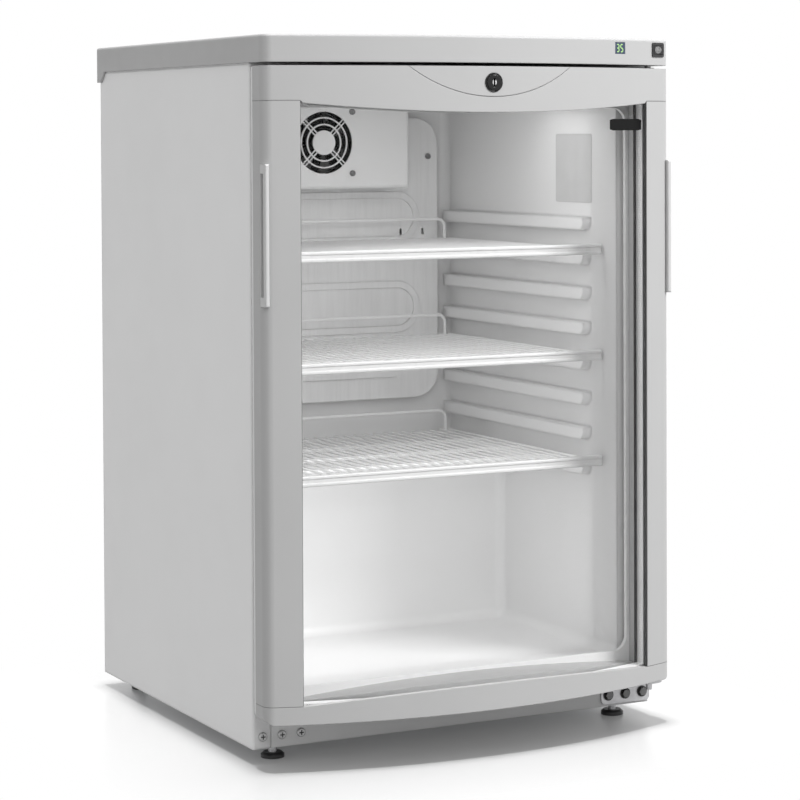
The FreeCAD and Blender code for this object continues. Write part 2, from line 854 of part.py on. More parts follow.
def inner_liner():
    """The vacuum-formed tub: hump over the machine space, shelf ledges and front rim."""
    body = new_body("inner_liner")
    wall = "liner_wall"

    def tub(grow):
        return [
            ("flange_y", f"liner_floor - {grow}"),
            (f"hump_y + {grow}", f"liner_floor - {grow}"),
            (f"hump_y + {grow}", f"hump_top - {grow}"),
            (f"liner_back + {grow}", f"hump_top - {grow}"),
            (f"liner_back + {grow}", f"liner_ceiling + {grow}"),
            ("flange_y", f"liner_ceiling + {grow}"),
        ]

    pad(body, "YZ", f"-(liner_half + {wall})", f"2 * (liner_half + {wall})", tub(wall))
    pocket(body, "YZ", "-liner_half", "2 * liner_half", tub("0"))

    def inner_corner(edge):
        box = edge.BoundBox
        inside = max(abs(box.XMin), abs(box.XMax)) < value("liner_half") + 0.1
        behind = box.YMax > value("flange_y") + 1
        kept = value("liner_floor") - 0.1 < box.ZMin and box.ZMax < value("liner_ceiling") + 0.1
        return inside and behind and kept and box.YMax < value("liner_back") + 0.1

    dress(body, "Fillet", "liner_cove", inner_corner)
    rim = rectangle("-rim_half", "rail_top + fit_gap", "rim_half", "rim_top")
    mouth = rectangle("-liner_half", "liner_floor", "liner_half", "liner_ceiling")
    pad(body, "XZ", "flange_y", wall, rim, mouth)
    ledges = []
    for number in range(int(value("ledge_count"))):
        top = f"(ledge_first + {number} * ledge_pitch)"
        ledges.append([
            ("flange_y + ledge_front", top),
            ("flange_y + ledge_front", f"{top} - ledge_height / 4", "0.75 * ledge_height", 1),
            ("flange_y + ledge_front + 0.75 * ledge_height", f"{top} - ledge_height"),
            ("ledge_rear_y", f"{top} - ledge_height"),
            ("ledge_rear_y", top),
        ])
    pad(body, "YZ", "liner_half - ledge_reach", f"ledge_reach + {wall} / 2", *ledges)
    pad(body, "YZ", f"-(liner_half + {wall} / 2)", f"ledge_reach + {wall} / 2", *ledges)
    return sub_part(body, "inner_liner")


# Worktop and its controls

def front_frame(thing, x, z):
    """Sets a piece square to the bowed front at x and z, its own -Y pointing out."""
    return place(thing, x, bow_y(x), z, f"asin(({x}) / bow_radius)")


def front_hole(name, x, z, width, height):
    """A square-edged block that opens the worktop's front wall for a control."""
    block = doc.addObject("Part::Box", name)
    block.setExpression("Length", cell(width))
    block.setExpression("Width", cell("worktop_wall + 2 * overrun"))
    block.setExpression("Height", cell(height))
    angle = f"asin(({x}) / bow_radius)"
    across = f"(({width}) / 2)"
    back = "overrun"
    return place(
        block,
        f"({x}) - {across} * cos({angle}) + {back} * sin({angle})",
        f"{bow_y(x)} - {across} * sin({angle}) - {back} * cos({angle})",
        f"({z}) - ({height}) / 2",
        angle,
    )


def worktop():
    """The hollow top moulding: bowed front, soft top edge, ribs below and a lip behind."""
    body = new_body("worktop_moulding")
    pad(body, "XY", "cabinet_top", "worktop_height", door_plan("0", "rear_y"))
    hollow = "worktop_height - worktop_skin"
    bay_rear = "flange_y + front_bay"
    pocket(body, "XY", "cabinet_top", hollow, door_plan("worktop_wall", bay_rear))
    bay_front = f"{bay_rear} + worktop_rib"
    bay_back = "back_y - worktop_wall"
    third = "((half_door - worktop_wall) * 2 - 2 * worktop_rib) / 3"
    bays = []
    for number in range(3):
        left = f"worktop_wall - half_door + {number} * ({third} + worktop_rib)"
        bays.append(rectangle(left, bay_front, f"{left} + {third}", bay_back))
    pocket(body, "XY", "cabinet_top", hollow, *bays)
    dress(body, "Fillet", "worktop_edge", lambda edge: lies_at(edge, "Z", "overall_height"))
    lip = rectangle("-half_door", "side_rear + fit_gap", "half_door", "rear_y")
    pad(body, "XY", "cabinet_top - lip_drop", "lip_drop + worktop_skin", lip)
    tooth = [
        ("rear_y - lip_run", "cabinet_top"),
        ("rear_y - lip_run / 2", "cabinet_top - lip_drop"),
        ("rear_y", "cabinet_top - lip_drop"),
        ("rear_y", "cabinet_top + worktop_skin"),
        ("rear_y - lip_run", "cabinet_top + worktop_skin"),
    ]
    skirt = "half_door - half_cabinet - fit_gap"
    pad(body, "YZ", "half_cabinet + fit_gap", skirt, tooth)
    pad(body, "YZ", "-half_door", skirt, tooth)
    display = front_hole(
        "display_hole", "display_x", "display_z",
        "display_width + 2 * seat_gap", "display_height + 2 * seat_gap",
    )
    switch = front_hole(
        "switch_hole", "switch_x", "switch_z",
        "switch_width - 2 + 2 * seat_gap", "switch_height - 2 + 2 * seat_gap",
    )
    opened = joined("Cut", "worktop_display_cut", body, display)
    return sub_part(joined("Cut", "worktop", opened, switch), "worktop")


def worktop_cover():
    """The plate closing the overhang from below, slotted for the lock cam and notched at the hinge."""
    body = new_body("worktop_cover")
    rim = "worktop_wall + fit_gap"
    pad(body, "XY", "cabinet_top", "cover_sheet", door_plan(f"({rim})", "flange_y - fit_gap"))
    notch = rectangle("hinge_x - arm_radius - 2 * fit_gap", "front_y", "half_door", "flange_y")
    pocket(body, "XY", "cabinet_top - overrun", "cover_sheet + 2 * overrun", notch, cam_slot())
    return sub_part(body, "worktop_cover")


def display_module():
    """The display's housing, set through the worktop's front, and its flush window."""
    housing = new_body("display_housing")
    lens = "display_lens + seat_gap"
    half = "display_width / 2"
    tall = "display_height / 2"
    neck = rectangle(f"-{half}", f"-{tall}", half, tall)
    pad(housing, "XZ", lens, "worktop_wall + 1", neck)
    border = "display_border"
    rear = rounded(f"-({half} + {border})", f"-({tall} + {border})", f"{half} + {border}", tall, "2")
    pad(housing, "XZ", "worktop_wall + 0.8", "display_depth", rear)
    front_frame(housing, "display_x", "display_z")
    window = new_body("display_window")
    pad(window, "XZ", "0.2", "display_lens - 0.2", neck)
    front_frame(window, "display_x", "display_z")
    return sub_part(housing, "display_housing"), sub_part(window, "display_window")


def switch():
    """The switch: a bezel pushed through the worktop's front, and a rocker on two stub pins."""
    bezel = new_body("switch_bezel")
    half, tall = "switch_width / 2", "switch_height / 2"
    flange = rounded(f"-({half})", f"-({tall})", half, tall, "2")
    pad(bezel, "XZ", "-switch_proud", "switch_proud", flange)
    barrel = rectangle(f"1 - {half}", f"1 - {tall}", f"{half} - 1", f"{tall} - 1")
    pad(bezel, "XZ", "0", "switch_depth", barrel)
    well_half, well_tall = f"({half} - switch_wall)", f"({tall} - switch_wall - 1)"
    well = rectangle(f"-{well_half}", f"-{well_tall}", well_half, well_tall)
    pocket(bezel, "XZ", "-switch_proud - overrun", "switch_depth / 2 + overrun", well)
    pivot = "3.5"
    pin_reach = f"2 * ({well_tall} + 1.5)"
    bearing = circle("0", pivot, "rocker_pin + 2 * run_gap")
    pocket(bezel, "XY", f"-({well_tall} + 1.5)", pin_reach, bearing)
    front_frame(bezel, "switch_x", "switch_z")
    rocker = new_body("switch_rocker")
    reach = f"({well_half} - 1.3)"
    depth = "switch_proud + 1.4"
    profile = [
        (f"-{reach}", f"-({depth}) - ({pivot})"),
        ("0", f"-({depth} - 1.6) - ({pivot})"),
        (reach, f"-({depth}) - ({pivot})"),
        (reach, f"0.5 - {pivot}"),
        ("3", f"6.6 - {pivot}"),
        ("-3", f"6.6 - {pivot}"),
        (f"-{reach}", f"0.5 - {pivot}"),
    ]
    rocker_tall = f"({well_tall} - fit_gap)"
    pad(rocker, "XY", f"-{rocker_tall}", f"2 * {rocker_tall}", profile)
    pin_half = f"({well_tall} + 1.2)"
    pad(rocker, "XY", f"-{pin_half}", f"2 * {pin_half}", circle("0", "0", "rocker_pin"))
    turn = "asin(switch_x / bow_radius)"
    place(
        rocker,
        f"switch_x - {pivot} * sin({turn})",
        f"{bow_y('switch_x')} + {pivot} * cos({turn})",
        "switch_z",
        f"{turn} - rocker_tilt * 1 deg",
    )
    return sub_part(bezel, "switch_bezel"), sub_part(rocker, "switch_rocker")


# Door frame and glazing

def cam_slot():
    """The slot that the lock cam rises through, in plan."""
    behind = "front_y - lock_proud + lock_length"
    return rectangle("-cam_width", f"{behind} - 1.5", "cam_length", f"{behind} + cam_thickness + 1.5")


def crescent(label, grow, depth):
    """The lock plate's crescent on the bowed front, grown all round where it is a recess."""
    body = new_body(label)
    half = f"(crescent_half + {grow})"
    drop = f"(crescent_drop + {grow})"
    radius = f"(({half} ^ 2 + {drop} ^ 2) / (2 * {drop}))"
    outline = [(half, "door_top", radius, -1), (f"-{half}", "door_top")]
    thick = bow_y(half)
    pad(body, "XZ", "front_y - overrun", f"{thick} - front_y + {depth} + 2 * overrun", outline)
    wide = f"({half} + overrun)"
    ahead = [
        (wide, bow_y(wide), "bow_radius", -1),
        (f"-{wide}", bow_y(wide)),
        (f"-{wide}", "front_y - 3 * overrun"),
        (wide, "front_y - 3 * overrun"),
    ]
    tall = f"{drop} + 2 * overrun"
    pocket(body, "XY", f"door_top - {drop} - overrun", tall, ahead)
    far = f"{thick} + {depth} + 3 * overrun"
    behind = [
        (wide, bow_y(wide, depth), f"bow_radius - ({depth})", -1),
        (f"-{wide}", bow_y(wide, depth)),
        (f"-{wide}", far),
        (wide, far),
    ]
    pocket(body, "XY", f"door_top - {drop} - overrun", tall, behind)
    return body


def door_top_cap():
    """The top moulding: arched over the glass, hollow behind, with the lock bore and hinge hole."""
    body = new_body("top_cap_moulding")
    lowest = "(top_seam - top_cap_arch - 1)"
    pad(body, "XY", lowest, f"door_top - {lowest}", door_plan("0", "frame_front"))
    run = "(half_opening - top_cap_step)"
    sag = "(top_cap_arch - top_cap_step)"
    wide = "(half_door + overrun)"
    under = [
        (wide, "top_seam"),
        ("half_opening", "top_seam"),
        (run, "top_seam - top_cap_step", f"({run} ^ 2 + {sag} ^ 2) / (2 * {sag})", -1),
        (f"-{run}", "top_seam - top_cap_step"),
        ("-half_opening", "top_seam"),
        (f"-{wide}", "top_seam"),
        (f"-{wide}", f"{lowest} - overrun"),
        (wide, f"{lowest} - overrun"),
    ]
    through = "frame_front - front_y + 2 * overrun"
    pocket(body, "XZ", "front_y - overrun", through, under)
    deep = "glass_setback + glazing_depth + fit_gap"
    groove = bowed_slab("glass_setback - fit_gap", deep, "glass_edge + fit_gap")
    pocket(body, "XY", f"{lowest} - overrun", f"glass_top + fit_gap - {lowest} + overrun", groove)
    hollow_floor = "(glass_top + fit_gap + cap_wall)"
    hollow = door_plan("cap_wall", "frame_front + overrun")
    pocket(body, "XY", hollow_floor, f"door_top - cap_wall - {hollow_floor}", hollow)
    bore = circle("0", "lock_z", "lock_sleeve + 2 * seat_gap")
    pocket(body, "XZ", "front_y - overrun", "lock_length", bore)
    hinge = circle("hinge_x", "hinge_y", "bush_outer + 2 * seat_gap")
    pocket(body, "XY", "door_top - cap_wall - overrun", "cap_wall + 2 * overrun", hinge, cam_slot())
    recess = crescent("lock_plate_recess", "crescent_line", "crescent_depth")
    return sub_part(joined("Cut", "door_top_cap", body, recess), "door_top_cap")


def lock_plate():
    """The crescent plate let into the top cap, bored for the lock."""
    body = crescent("lock_plate", "0", "crescent_depth - run_gap")
    bore = circle("0", "lock_z", "lock_sleeve + 2 * seat_gap")
    pocket(body, "XZ", "front_y - overrun", "crescent_depth + 2 * overrun", bore)
    return sub_part(body, "lock_plate")


def door_bottom_cap():
    """The bottom moulding: crowned towards the glass, round lower corners, hollow behind."""
    body = new_body("door_bottom_cap")
    highest = "(bottom_seam + bottom_cap_arch + 1)"
    pad(body, "XY", "door_bottom", f"{highest} - door_bottom", door_plan("0", "frame_front"))
    wide = "(half_door + overrun)"
    crown = "((half_opening ^ 2 + bottom_cap_arch ^ 2) / (2 * bottom_cap_arch))"
    above = [
        (wide, "bottom_seam"),
        (wide, f"{highest} + overrun"),
        (f"-{wide}", f"{highest} + overrun"),
        (f"-{wide}", "bottom_seam"),
        ("-half_opening", "bottom_seam", crown, -1),
        ("half_opening", "bottom_seam"),
    ]
    through = "frame_front - front_y + 2 * overrun"
    pocket(body, "XZ", "front_y - overrun", through, above)
    corner = [
        (wide, "door_bottom - overrun"),
        (wide, "door_bottom + bottom_cap_corner"),
        ("half_door", "door_bottom + bottom_cap_corner", "bottom_cap_corner", -1),
        ("half_door - bottom_cap_corner", "door_bottom"),
        ("half_door - bottom_cap_corner", "door_bottom - overrun"),
    ]
    pocket(body, "XZ", "front_y - overrun", through, corner, mirrored(corner))
    deep = "glass_setback + glazing_depth + fit_gap"
    groove = bowed_slab("glass_setback - fit_gap", deep, "glass_edge + fit_gap")
    pocket(body, "XY", "glass_bottom - fit_gap", f"{highest} + overrun - glass_bottom", groove)
    hollow_half = "half_door - bottom_cap_corner"
    hollow_top = "(glass_bottom - fit_gap - cap_wall)"
    hollow = [
        (hollow_half, "frame_front + overrun"),
        (hollow_half, bow_y(hollow_half, "cap_wall"), "bow_radius - cap_wall", -1),
        (f"-({hollow_half})", bow_y(hollow_half, "cap_wall")),
        (f"-({hollow_half})", "frame_front + overrun"),
    ]
    pocket(body, "XY", "door_bottom + cap_wall", f"{hollow_top} - door_bottom - cap_wall", hollow)
    hinge = circle("hinge_x", "hinge_y", "bush_outer + 2 * seat_gap")
    pocket(body, "XY", "door_bottom - overrun", "cap_wall + 2 * overrun", hinge)
    return sub_part(body, "door_bottom_cap")


def stile_loops(right):
    """The stile's extruded section: bowed face, glazing groove and hollow core."""
    half, bow, corner, _, _, _ = door_plan("0", "frame_front")
    front, back = "glass_setback - fit_gap", "glass_setback + glazing_depth + fit_gap"
    deep = "glass_edge + fit_gap"
    outer = [
        half,
        bow,
        corner,
        ("half_opening", bow_y("half_opening")),
        ("half_opening", bow_y("half_opening", f"({front})")),
        (deep, bow_y(deep, f"({front})")),
        (deep, bow_y(deep, f"({back})")),
        ("half_opening", bow_y("half_opening", f"({back})")),
        ("half_opening", "frame_front"),
    ]
    core_left = f"({deep} + stile_wall)"
    inner = [*door_plan("stile_wall", "frame_front - stile_wall")[:3]]
    inner += [(core_left, bow_y(core_left, "stile_wall")), (core_left, "frame_front - stile_wall")]
    loops = [outer, inner]
    return loops if right else [mirrored(loop) for loop in loops]


def grip_loop(right):
    """The grip's outline in plan: a bar in front of the door's corner and a shallow cup behind it."""
    floor = "(handle_root - handle_wall)"
    inside = "(handle_slot + 1.8 * handle_wall)"
    loop = [
        ("half_door", "handle_back"),
        ("half_door", "handle_front"),
        ("handle_root", "handle_front"),
        ("handle_root", inside),
        (floor, inside),
        (floor, "handle_back"),
    ]
    return loop if right else mirrored(loop)


def door_stile(label, right):
    """A hollow side stile, opened at the side for its grip."""
    body = new_body(label)
    pad(body, "XY", "bottom_seam", "top_seam - bottom_seam", *stile_loops(right))
    root = "handle_root - seat_gap"
    opening = rectangle(root, "front_y", "half_door + overrun", "handle_back + seat_gap")
    room = "handle_length + 2 * seat_gap"
    pocket(body, "XY", "handle_low - seat_gap", room, opening if right else mirrored(opening))
    return sub_part(body, label)


def grip_handle(label, right):
    """A side grip: a bar along the door's corner with a finger slot behind it."""
    body = new_body(label)
    pad(body, "XY", "handle_low", "handle_length", grip_loop(right))
    slot = rectangle("handle_root", "handle_slot", "half_door + overrun", "handle_back - handle_rim")
    length = "handle_length - 2 * handle_end"
    pocket(body, "XY", "handle_low + handle_end", length, slot if right else mirrored(slot))
    dress(body, "Fillet", "handle_nose", lambda edge: lies_at(edge, "Y", "handle_front"))
    return sub_part(body, label)


def door_rear_frame():
    """The flat frame that closes the caps and stiles behind and holds the gasket's dart."""
    body = new_body("door_rear_frame")
    side = "half_door - 1"
    low, high = "door_bottom + 1", "door_top - 1"
    outer = [
        (f"-({side}) + bottom_cap_corner", low),
        (f"{side} - bottom_cap_corner", low, "bottom_cap_corner", 1),
        (side, f"{low} + bottom_cap_corner"),
        (side, high),
        (f"-({side})", high),
        (f"-({side})", f"{low} + bottom_cap_corner", "bottom_cap_corner", 1),
    ]
    inner = rounded(
        "frame_lap - half_opening", "bottom_seam + bottom_cap_arch + frame_lap",
        "half_opening - frame_lap", "top_seam - frame_top_drop", "frame_round",
    )
    pad(body, "XZ", "frame_front", "rear_frame_depth", outer, inner)
    groove = gasket_ring("gasket_dart + 2 * seat_gap")
    pocket(body, "XZ", "door_back - gasket_groove", "gasket_groove + overrun", *groove)
    return sub_part(body, "door_rear_frame")


def gasket_ring(width):
    """Two rectangles, a width apart, about the gasket's middle line."""
    rings = []
    for sign in (1, -1):
        inset = f"(gasket_width / 2 - {sign} * ({width}) / 2)"
        side = f"(gasket_outer - {inset})"
        rings.append(rectangle(f"-{side}", f"gasket_low + {inset}", side, f"gasket_high - {inset}"))
    return rings


def door_gasket():
    """The magnetic gasket: dart in the frame's groove, base, bellows web and magnet strip."""
    body = new_body("door_gasket")
    pad(body, "XZ", "door_back + seat_gap", "gasket_base", *gasket_ring("gasket_width"))
    dart_root = "door_back - gasket_groove + seat_gap"
    pad(body, "XZ", dart_root, "gasket_groove", *gasket_ring("gasket_dart"))
    web_start = "door_back + seat_gap + gasket_base"
    web = "gasket_depth / 3"
    pad(body, "XZ", web_start, web, *gasket_ring("gasket_web"))
    strip = f"gasket_depth - seat_gap - gasket_base - {web}"
    pad(body, "XZ", f"{web_start} + {web}", strip, *gasket_ring("gasket_magnet"))
    return sub_part(body, "door_gasket")


def glazing():
    """Two curved panes with a spacer frame between their edges."""
    spacer_front = "(glass_setback + glass_thickness)"
    spacer_back = "(spacer_depth + glass_setback + glass_thickness)"
    height = "glass_top - glass_bottom"
    outer = new_body("glass_outer")
    pad(outer, "XY", "glass_bottom", height, bowed_slab("glass_setback", spacer_front, "glass_edge"))
    inner = new_body("glass_inner")
    back = f"({spacer_back} + glass_thickness)"
    pad(inner, "XY", "glass_bottom", height, bowed_slab(spacer_back, back, "glass_edge"))
    spacer = new_body("glass_spacer")
    air = f"({spacer_front} + seat_gap)"
    pad(spacer, "XY", "glass_bottom", height, bowed_slab(air, f"({spacer_back} - seat_gap)", "glass_edge"))
    window = rectangle(
        "spacer_width - glass_edge", "glass_bottom + spacer_width",
        "glass_edge - spacer_width", "glass_top - spacer_width",
    )
    pocket(spacer, "XZ", "front_y", "flange_y - front_y", window)
    return sub_part(outer, "glass_outer"), sub_part(inner, "glass_inner"), sub_part(spacer, "glass_spacer")


# Lock

def lock():
    """The barrel lock: fixed bezel, turning cylinder with its keyway, and the cam behind."""
    face = "front_y - lock_proud"
    bezel = new_body("lock_bezel")
    bore = circle("0", "lock_z", "lock_diameter + 2 * run_gap")
    pad(bezel, "XZ", f"{face} + 0.5", "lock_proud - 0.5", circle("0", "lock_z", "lock_bezel"), bore)
    sleeve = circle("0", "lock_z", "lock_sleeve")
    pad(bezel, "XZ", "front_y", "lock_length - lock_proud - 2", sleeve, bore)
    dress(bezel, "Chamfer", "lock_proud / 4", lambda edge: lies_at(edge, "Y", f"{face} + 0.5"))
    cylinder = new_body("lock_cylinder")
    pad(cylinder, "XZ", face, "lock_length", circle("0", "lock_z", "lock_diameter"))
    spigot = circle("0", "lock_z", "lock_spigot")
    pad(cylinder, "XZ", f"{face} + lock_length", "cam_thickness + 2", spigot)
    key = rectangle(
        "-key_width / 2", "lock_z - key_height / 2", "key_width / 2", "lock_z + key_height / 2",
    )
    pocket(cylinder, "XZ", f"{face} - overrun", "key_depth + overrun", key)
    cam = new_body("lock_cam")
    half = "(cam_width / 2)"
    blade = [
        ("0", f"lock_z - {half}"),
        (f"cam_length - {half}", f"lock_z - {half}", half, 1),
        ("cam_length", "lock_z", half, 1),
        (f"cam_length - {half}", f"lock_z + {half}"),
        ("0", f"lock_z + {half}", half, 1),
        (f"-{half}", "lock_z", half, 1),
    ]
    hole = circle("0", "lock_z", "lock_spigot + 2 * run_gap")
    pad(cam, "XZ", f"{face} + lock_length", "cam_thickness", blade, hole)
    return sub_part(bezel, "lock_bezel"), sub_part(cylinder, "lock_cylinder"), sub_part(cam, "lock_cam")


# Hinges and front fasteners

def hinge_bracket():
    """The bottom hinge: a plate on the plinth and an arm under the door."""
    body = new_body("hinge_bracket")
    outer = "hinge_x + arm_radius"
    plate = [
        ("bracket_inner + bracket_corner", "bracket_low"),
        (f"{outer} - bracket_corner", "bracket_low", "bracket_corner", 1),
        (outer, "bracket_low + bracket_corner"),
        (outer, "arm_top"),
        ("hinge_x - arm_radius", "arm_top"),
        ("hinge_x - arm_radius", "arm_bottom"),
        ("bracket_inner", "arm_bottom"),
        ("bracket_inner", "bracket_low + bracket_corner", "bracket_corner", 1),
    ]
    pad(body, "XZ", "flange_y - bracket_plate", "bracket_plate", plate)
    pad(body, "XY", "arm_bottom", "bracket_plate", hinge_tongue("flange_y"))
    bolts = [bolt_hole(f"bolt_first - {n} * bolt_pitch", "bolt_z", "bolt_shank") for n in range(3)]
    pocket(body, "XZ", "flange_y - bracket_plate - overrun", "bracket_plate + 2 * overrun", *bolts)
    pin = circle("hinge_x", "hinge_y", "hinge_pin + 2 * seat_gap")
    pocket(body, "XY", "arm_bottom - overrun", "bracket_plate + 2 * overrun", pin)
    return sub_part(body, "hinge_bracket")


def hinge_tongue(rear):
    """A tongue, round at the hinge axis and straight back to rear."""
    left, right = "hinge_x - arm_radius", "hinge_x + arm_radius"
    return [
        (left, rear),
        (left, "hinge_y", "arm_radius", 1),
        ("hinge_x", "hinge_y - arm_radius", "arm_radius", 1),
        (right, "hinge_y"),
        (right, rear),
    ]


def hinge_top_plate():
    """The top hinge plate, screwed down under the worktop."""
    body = new_body("hinge_top_plate")
    rear = "hinge_y + top_plate_length - arm_radius"
    pad(body, "XY", "cabinet_top", "bracket_plate", hinge_tongue(rear))
    pin = circle("hinge_x", "hinge_y", "hinge_pin + 2 * seat_gap")
    bolts = [bolt_hole("hinge_x", y, "bolt_shank") for y in top_bolt_rows()]
    pocket(body, "XY", "cabinet_top - overrun", "bracket_plate + 2 * overrun", pin, *bolts)
    return sub_part(body, "hinge_top_plate")


def top_bolt_rows():
    rear = "hinge_y + top_plate_length - arm_radius"
    return f"{rear} - bolt_head", f"{rear} - bolt_head - bolt_pitch"


def hinge_pins():
    """The two hinge pins: the lower one stands on a collar under the arm, the upper hangs from its plate."""
    lower = new_body("hinge_pin_lower")
    radius, collar = "(hinge_pin / 2)", "(hinge_collar / 2)"
    tail = "arm_bottom - hinge_pin_tail"
    shoulder = "bracket_plate"
    top = "door_bottom + hinge_pin_grip"
    revolve(lower, [
        ("0", tail),
        (radius, tail),
        (radius, f"arm_bottom - {shoulder}"),
        (collar, f"arm_bottom - {shoulder}"),
        (collar, "arm_bottom"),
        (radius, "arm_bottom"),
        (radius, top),
        ("0", top),
    ])
    place(lower, "hinge_x", "hinge_y")
    upper = new_body("hinge_pin_upper")
    plate_top = "cabinet_top + bracket_plate"
    end = "door_top - hinge_pin_grip"
    revolve(upper, [
        ("0", end),
        (radius, end),
        (radius, plate_top),
        (collar, plate_top),
        (collar, f"{plate_top} + {shoulder}"),
        ("0", f"{plate_top} + {shoulder}"),
    ])
    place(upper, "hinge_x", "hinge_y")
    pair = doc.addObject("Part::Compound", "hinge_pins")
    pair.Links = [lower, upper]
    doc.recompute()
    return sub_part(pair, "hinge_pins")


def hinge_bushes():
    """The flanged bushes pressed into the door's caps, one below and one above."""
    pattern = new_body("hinge_bush_pattern")
    bore, outer, flange = "hinge_pin / 2 + run_gap", "bush_outer / 2", "bush_flange / 2"
    revolve(pattern, [
        (bore, "-bush_flange_thickness"),
        (flange, "-bush_flange_thickness"),
        (flange, "0"),
        (outer, "0"),
        (outer, "bush_length"),
        (bore, "bush_length"),
    ])
    lower = spot("hinge_x", "hinge_y", "door_bottom")
    upper = spot("hinge_x", "hinge_y", "door_top", axis=(1, 0, 0), angle=180)
    return sub_part(copies("hinge_bushes", (pattern, [lower, upper])), "hinge_bushes")


def hex_bolt(label, length):
    """A flanged hexagon bolt along Z, its head above the origin and its shank below."""
    body = new_body(label)
    pad(body, "XY", "0", "bolt_head_height", hexagon("0", "0", "bolt_head"))
    pad(body, "XY", "0", "bolt_flange_height", polygon("0", "0", "bolt_flange", 16))
    pad(body, "XY", f"-({length})", length, polygon("0", "0", "bolt_shank", 8))
    return body


def hinge_bolts():
    """Three bolts through the bracket and two through the top plate."""
    pattern = hex_bolt("hinge_bolt_pattern", "bolt_length")
    face = "flange_y - bracket_plate"
    places = [
        spot(f"bolt_first - {n} * bolt_pitch", face, "bolt_z", axis=(1, 0, 0), angle=90) for n in range(3)
    ]
    places += [spot("hinge_x", y, "cabinet_top + bracket_plate") for y in top_bolt_rows()]
    return sub_part(copies("hinge_bolts", (pattern, places)), "hinge_bolts")


def blanking_screws():
    """Pan-head screws that fill the unused hinge holes on the left."""
    pattern = new_body("blanking_screw_pattern")
    pad(pattern, "XY", "-bolt_length / 2", "bolt_length / 2", polygon("0", "0", "bolt_shank", 8))
    head_height = "bolt_head_height * 0.7"
    pad(pattern, "XY", "0", head_height, polygon("0", "0", "bolt_head", 12))
    dress(pattern, "Chamfer", "bolt_head_height / 4", lambda edge: lies_at(edge, "Z", head_height))
    places = [
        spot(f"{n} * bolt_pitch - bolt_first", "flange_y", "bolt_z", axis=(1, 0, 0), angle=90)
        for n in range(3)
    ]
    return sub_part(copies("blanking_screws", (pattern, places)), "blanking_screws")


# Feet

def feet():
    """Four screw feet, and the weld nuts in the base pan that they turn in."""
    sole, stud = "foot_diameter / 2", "stud_diameter / 2"
    spots = {
        "foot_front_left": ("-foot_x", "foot_front_y"),
        "foot_front_right": ("foot_x", "foot_front_y"),
        "foot_rear_left": ("-foot_x", "foot_rear_y"),
        "foot_rear_right": ("foot_x", "foot_rear_y"),
    }
    top = "stud_top"
    for label, (x, y) in spots.items():
        foot = new_body(label)
        revolve(foot, [
            ("0", "0"),
            (sole, "0"),
            (sole, "foot_base * 0.6"),
            (f"{sole} - 3", "foot_base"),
            (stud, "foot_base"),
            (stud, top),
            ("0", top),
        ])
        sub_part(place(foot, x, y), label)
    nut = new_body("weld_nut_pattern")
    across = "nut_diameter / 2"
    corners = [(f"{across} * cos({60 * n})", f"{across} * sin({60 * n})") for n in range(6)]
    pad(nut, "XY", "0", "nut_height", corners, circle("0", "0", "stud_diameter + 2 * run_gap"))
    nuts = copies("foot_nuts", (nut, [spot(x, y, "pan_top") for x, y in spots.values()]))
    return sub_part(nuts, "foot_nuts")


# Shelves

def shelf_levels():
    """The ledge tops that carry a shelf, from the lowest up."""
    numbers = range(0, int(value("ledge_count")), int(value("shelf_every")))
    return [f"ledge_first + {number} * ledge_pitch" for number in numbers]


def shelf_wires():
    """The wire shelves: on each level a row of wires lies across five bars, flat on flat."""
    tall = "(bar_diameter * sin(60))"
    bar = new_body("shelf_bar_pattern")
    pad(bar, "YZ", "-shelf_half", "2 * shelf_half", hexagon("0", f"{tall} / 2", "bar_diameter"))
    wire = new_body("shelf_wire_pattern")
    overhang = "bar_diameter / 2"
    length = f"shelf_rear_y - shelf_front_y + 2 * {overhang}"
    section = hexagon("0", f"{tall} + wire_diameter * sin(60) / 2", "wire_diameter")
    pad(wire, "XZ", f"shelf_front_y - {overhang}", length, section)
    step = "(shelf_rear_y - shelf_front_y) / (bar_count - 1)"
    rows = [f"shelf_front_y + {n} * {step}" for n in range(int(value("bar_count")))]
    columns = [f"{n} * wire_pitch - wire_half" for n in range(int(value("wire_count")))]
    for name, level in zip(("bottom", "middle", "top"), shelf_levels()):
        label = f"shelf_wires_{name}"
        bars = [spot("0", y, level) for y in rows]
        wires = [spot(x, "0", level) for x in columns]
        sub_part(copies(label, (bar, bars), (wire, wires)), label)


def shelf_trims():
    """The strip clipped over each shelf's front bar: two rounded beads with a flat band between."""
    trim = new_body("shelf_trim_pattern")
    grip = "(bar_diameter / 2 + seat_gap)"
    mouth = f"(shelf_front_y - {grip})"
    face = f"({mouth} - trim_wall)"
    low = "(-seat_gap - trim_lug)"
    high = f"({low} + trim_height)"
    round_off = "(trim_bead / 2)"
    profile = [
        (f"{face} + {round_off}", low),
        (mouth, low),
        (mouth, f"{high} - trim_lug"),
        (f"{face} + trim_depth", f"{high} - trim_lug"),
        (f"{face} + trim_depth", high),
        (f"{face} + {round_off}", high, round_off, 1),
        (face, f"{high} - {round_off}"),
        (face, f"{high} - trim_bead"),
        (f"{face} + trim_groove", f"{high} - trim_bead - trim_groove"),
        (f"{face} + trim_groove", f"{low} + trim_bead + trim_groove"),
        (face, f"{low} + trim_bead"),
        (face, f"{low} + {round_off}", round_off, 1),
    ]
    pad(trim, "YZ", "-trim_half", "2 * trim_half", profile)
    reach = "(ledge_reach / 2)"
    for level in (low, "bar_diameter + seat_gap"):
        lug = rectangle(mouth, level, "shelf_front_y", f"{level} + trim_lug")
        pad(trim, "YZ", "-trim_half", reach, lug)
        pad(trim, "YZ", f"trim_half - {reach}", reach, lug)
    places = [spot("0", "0", level) for level in shelf_levels()]
    return sub_part(copies("shelf_trims", (trim, places)), "shelf_trims")


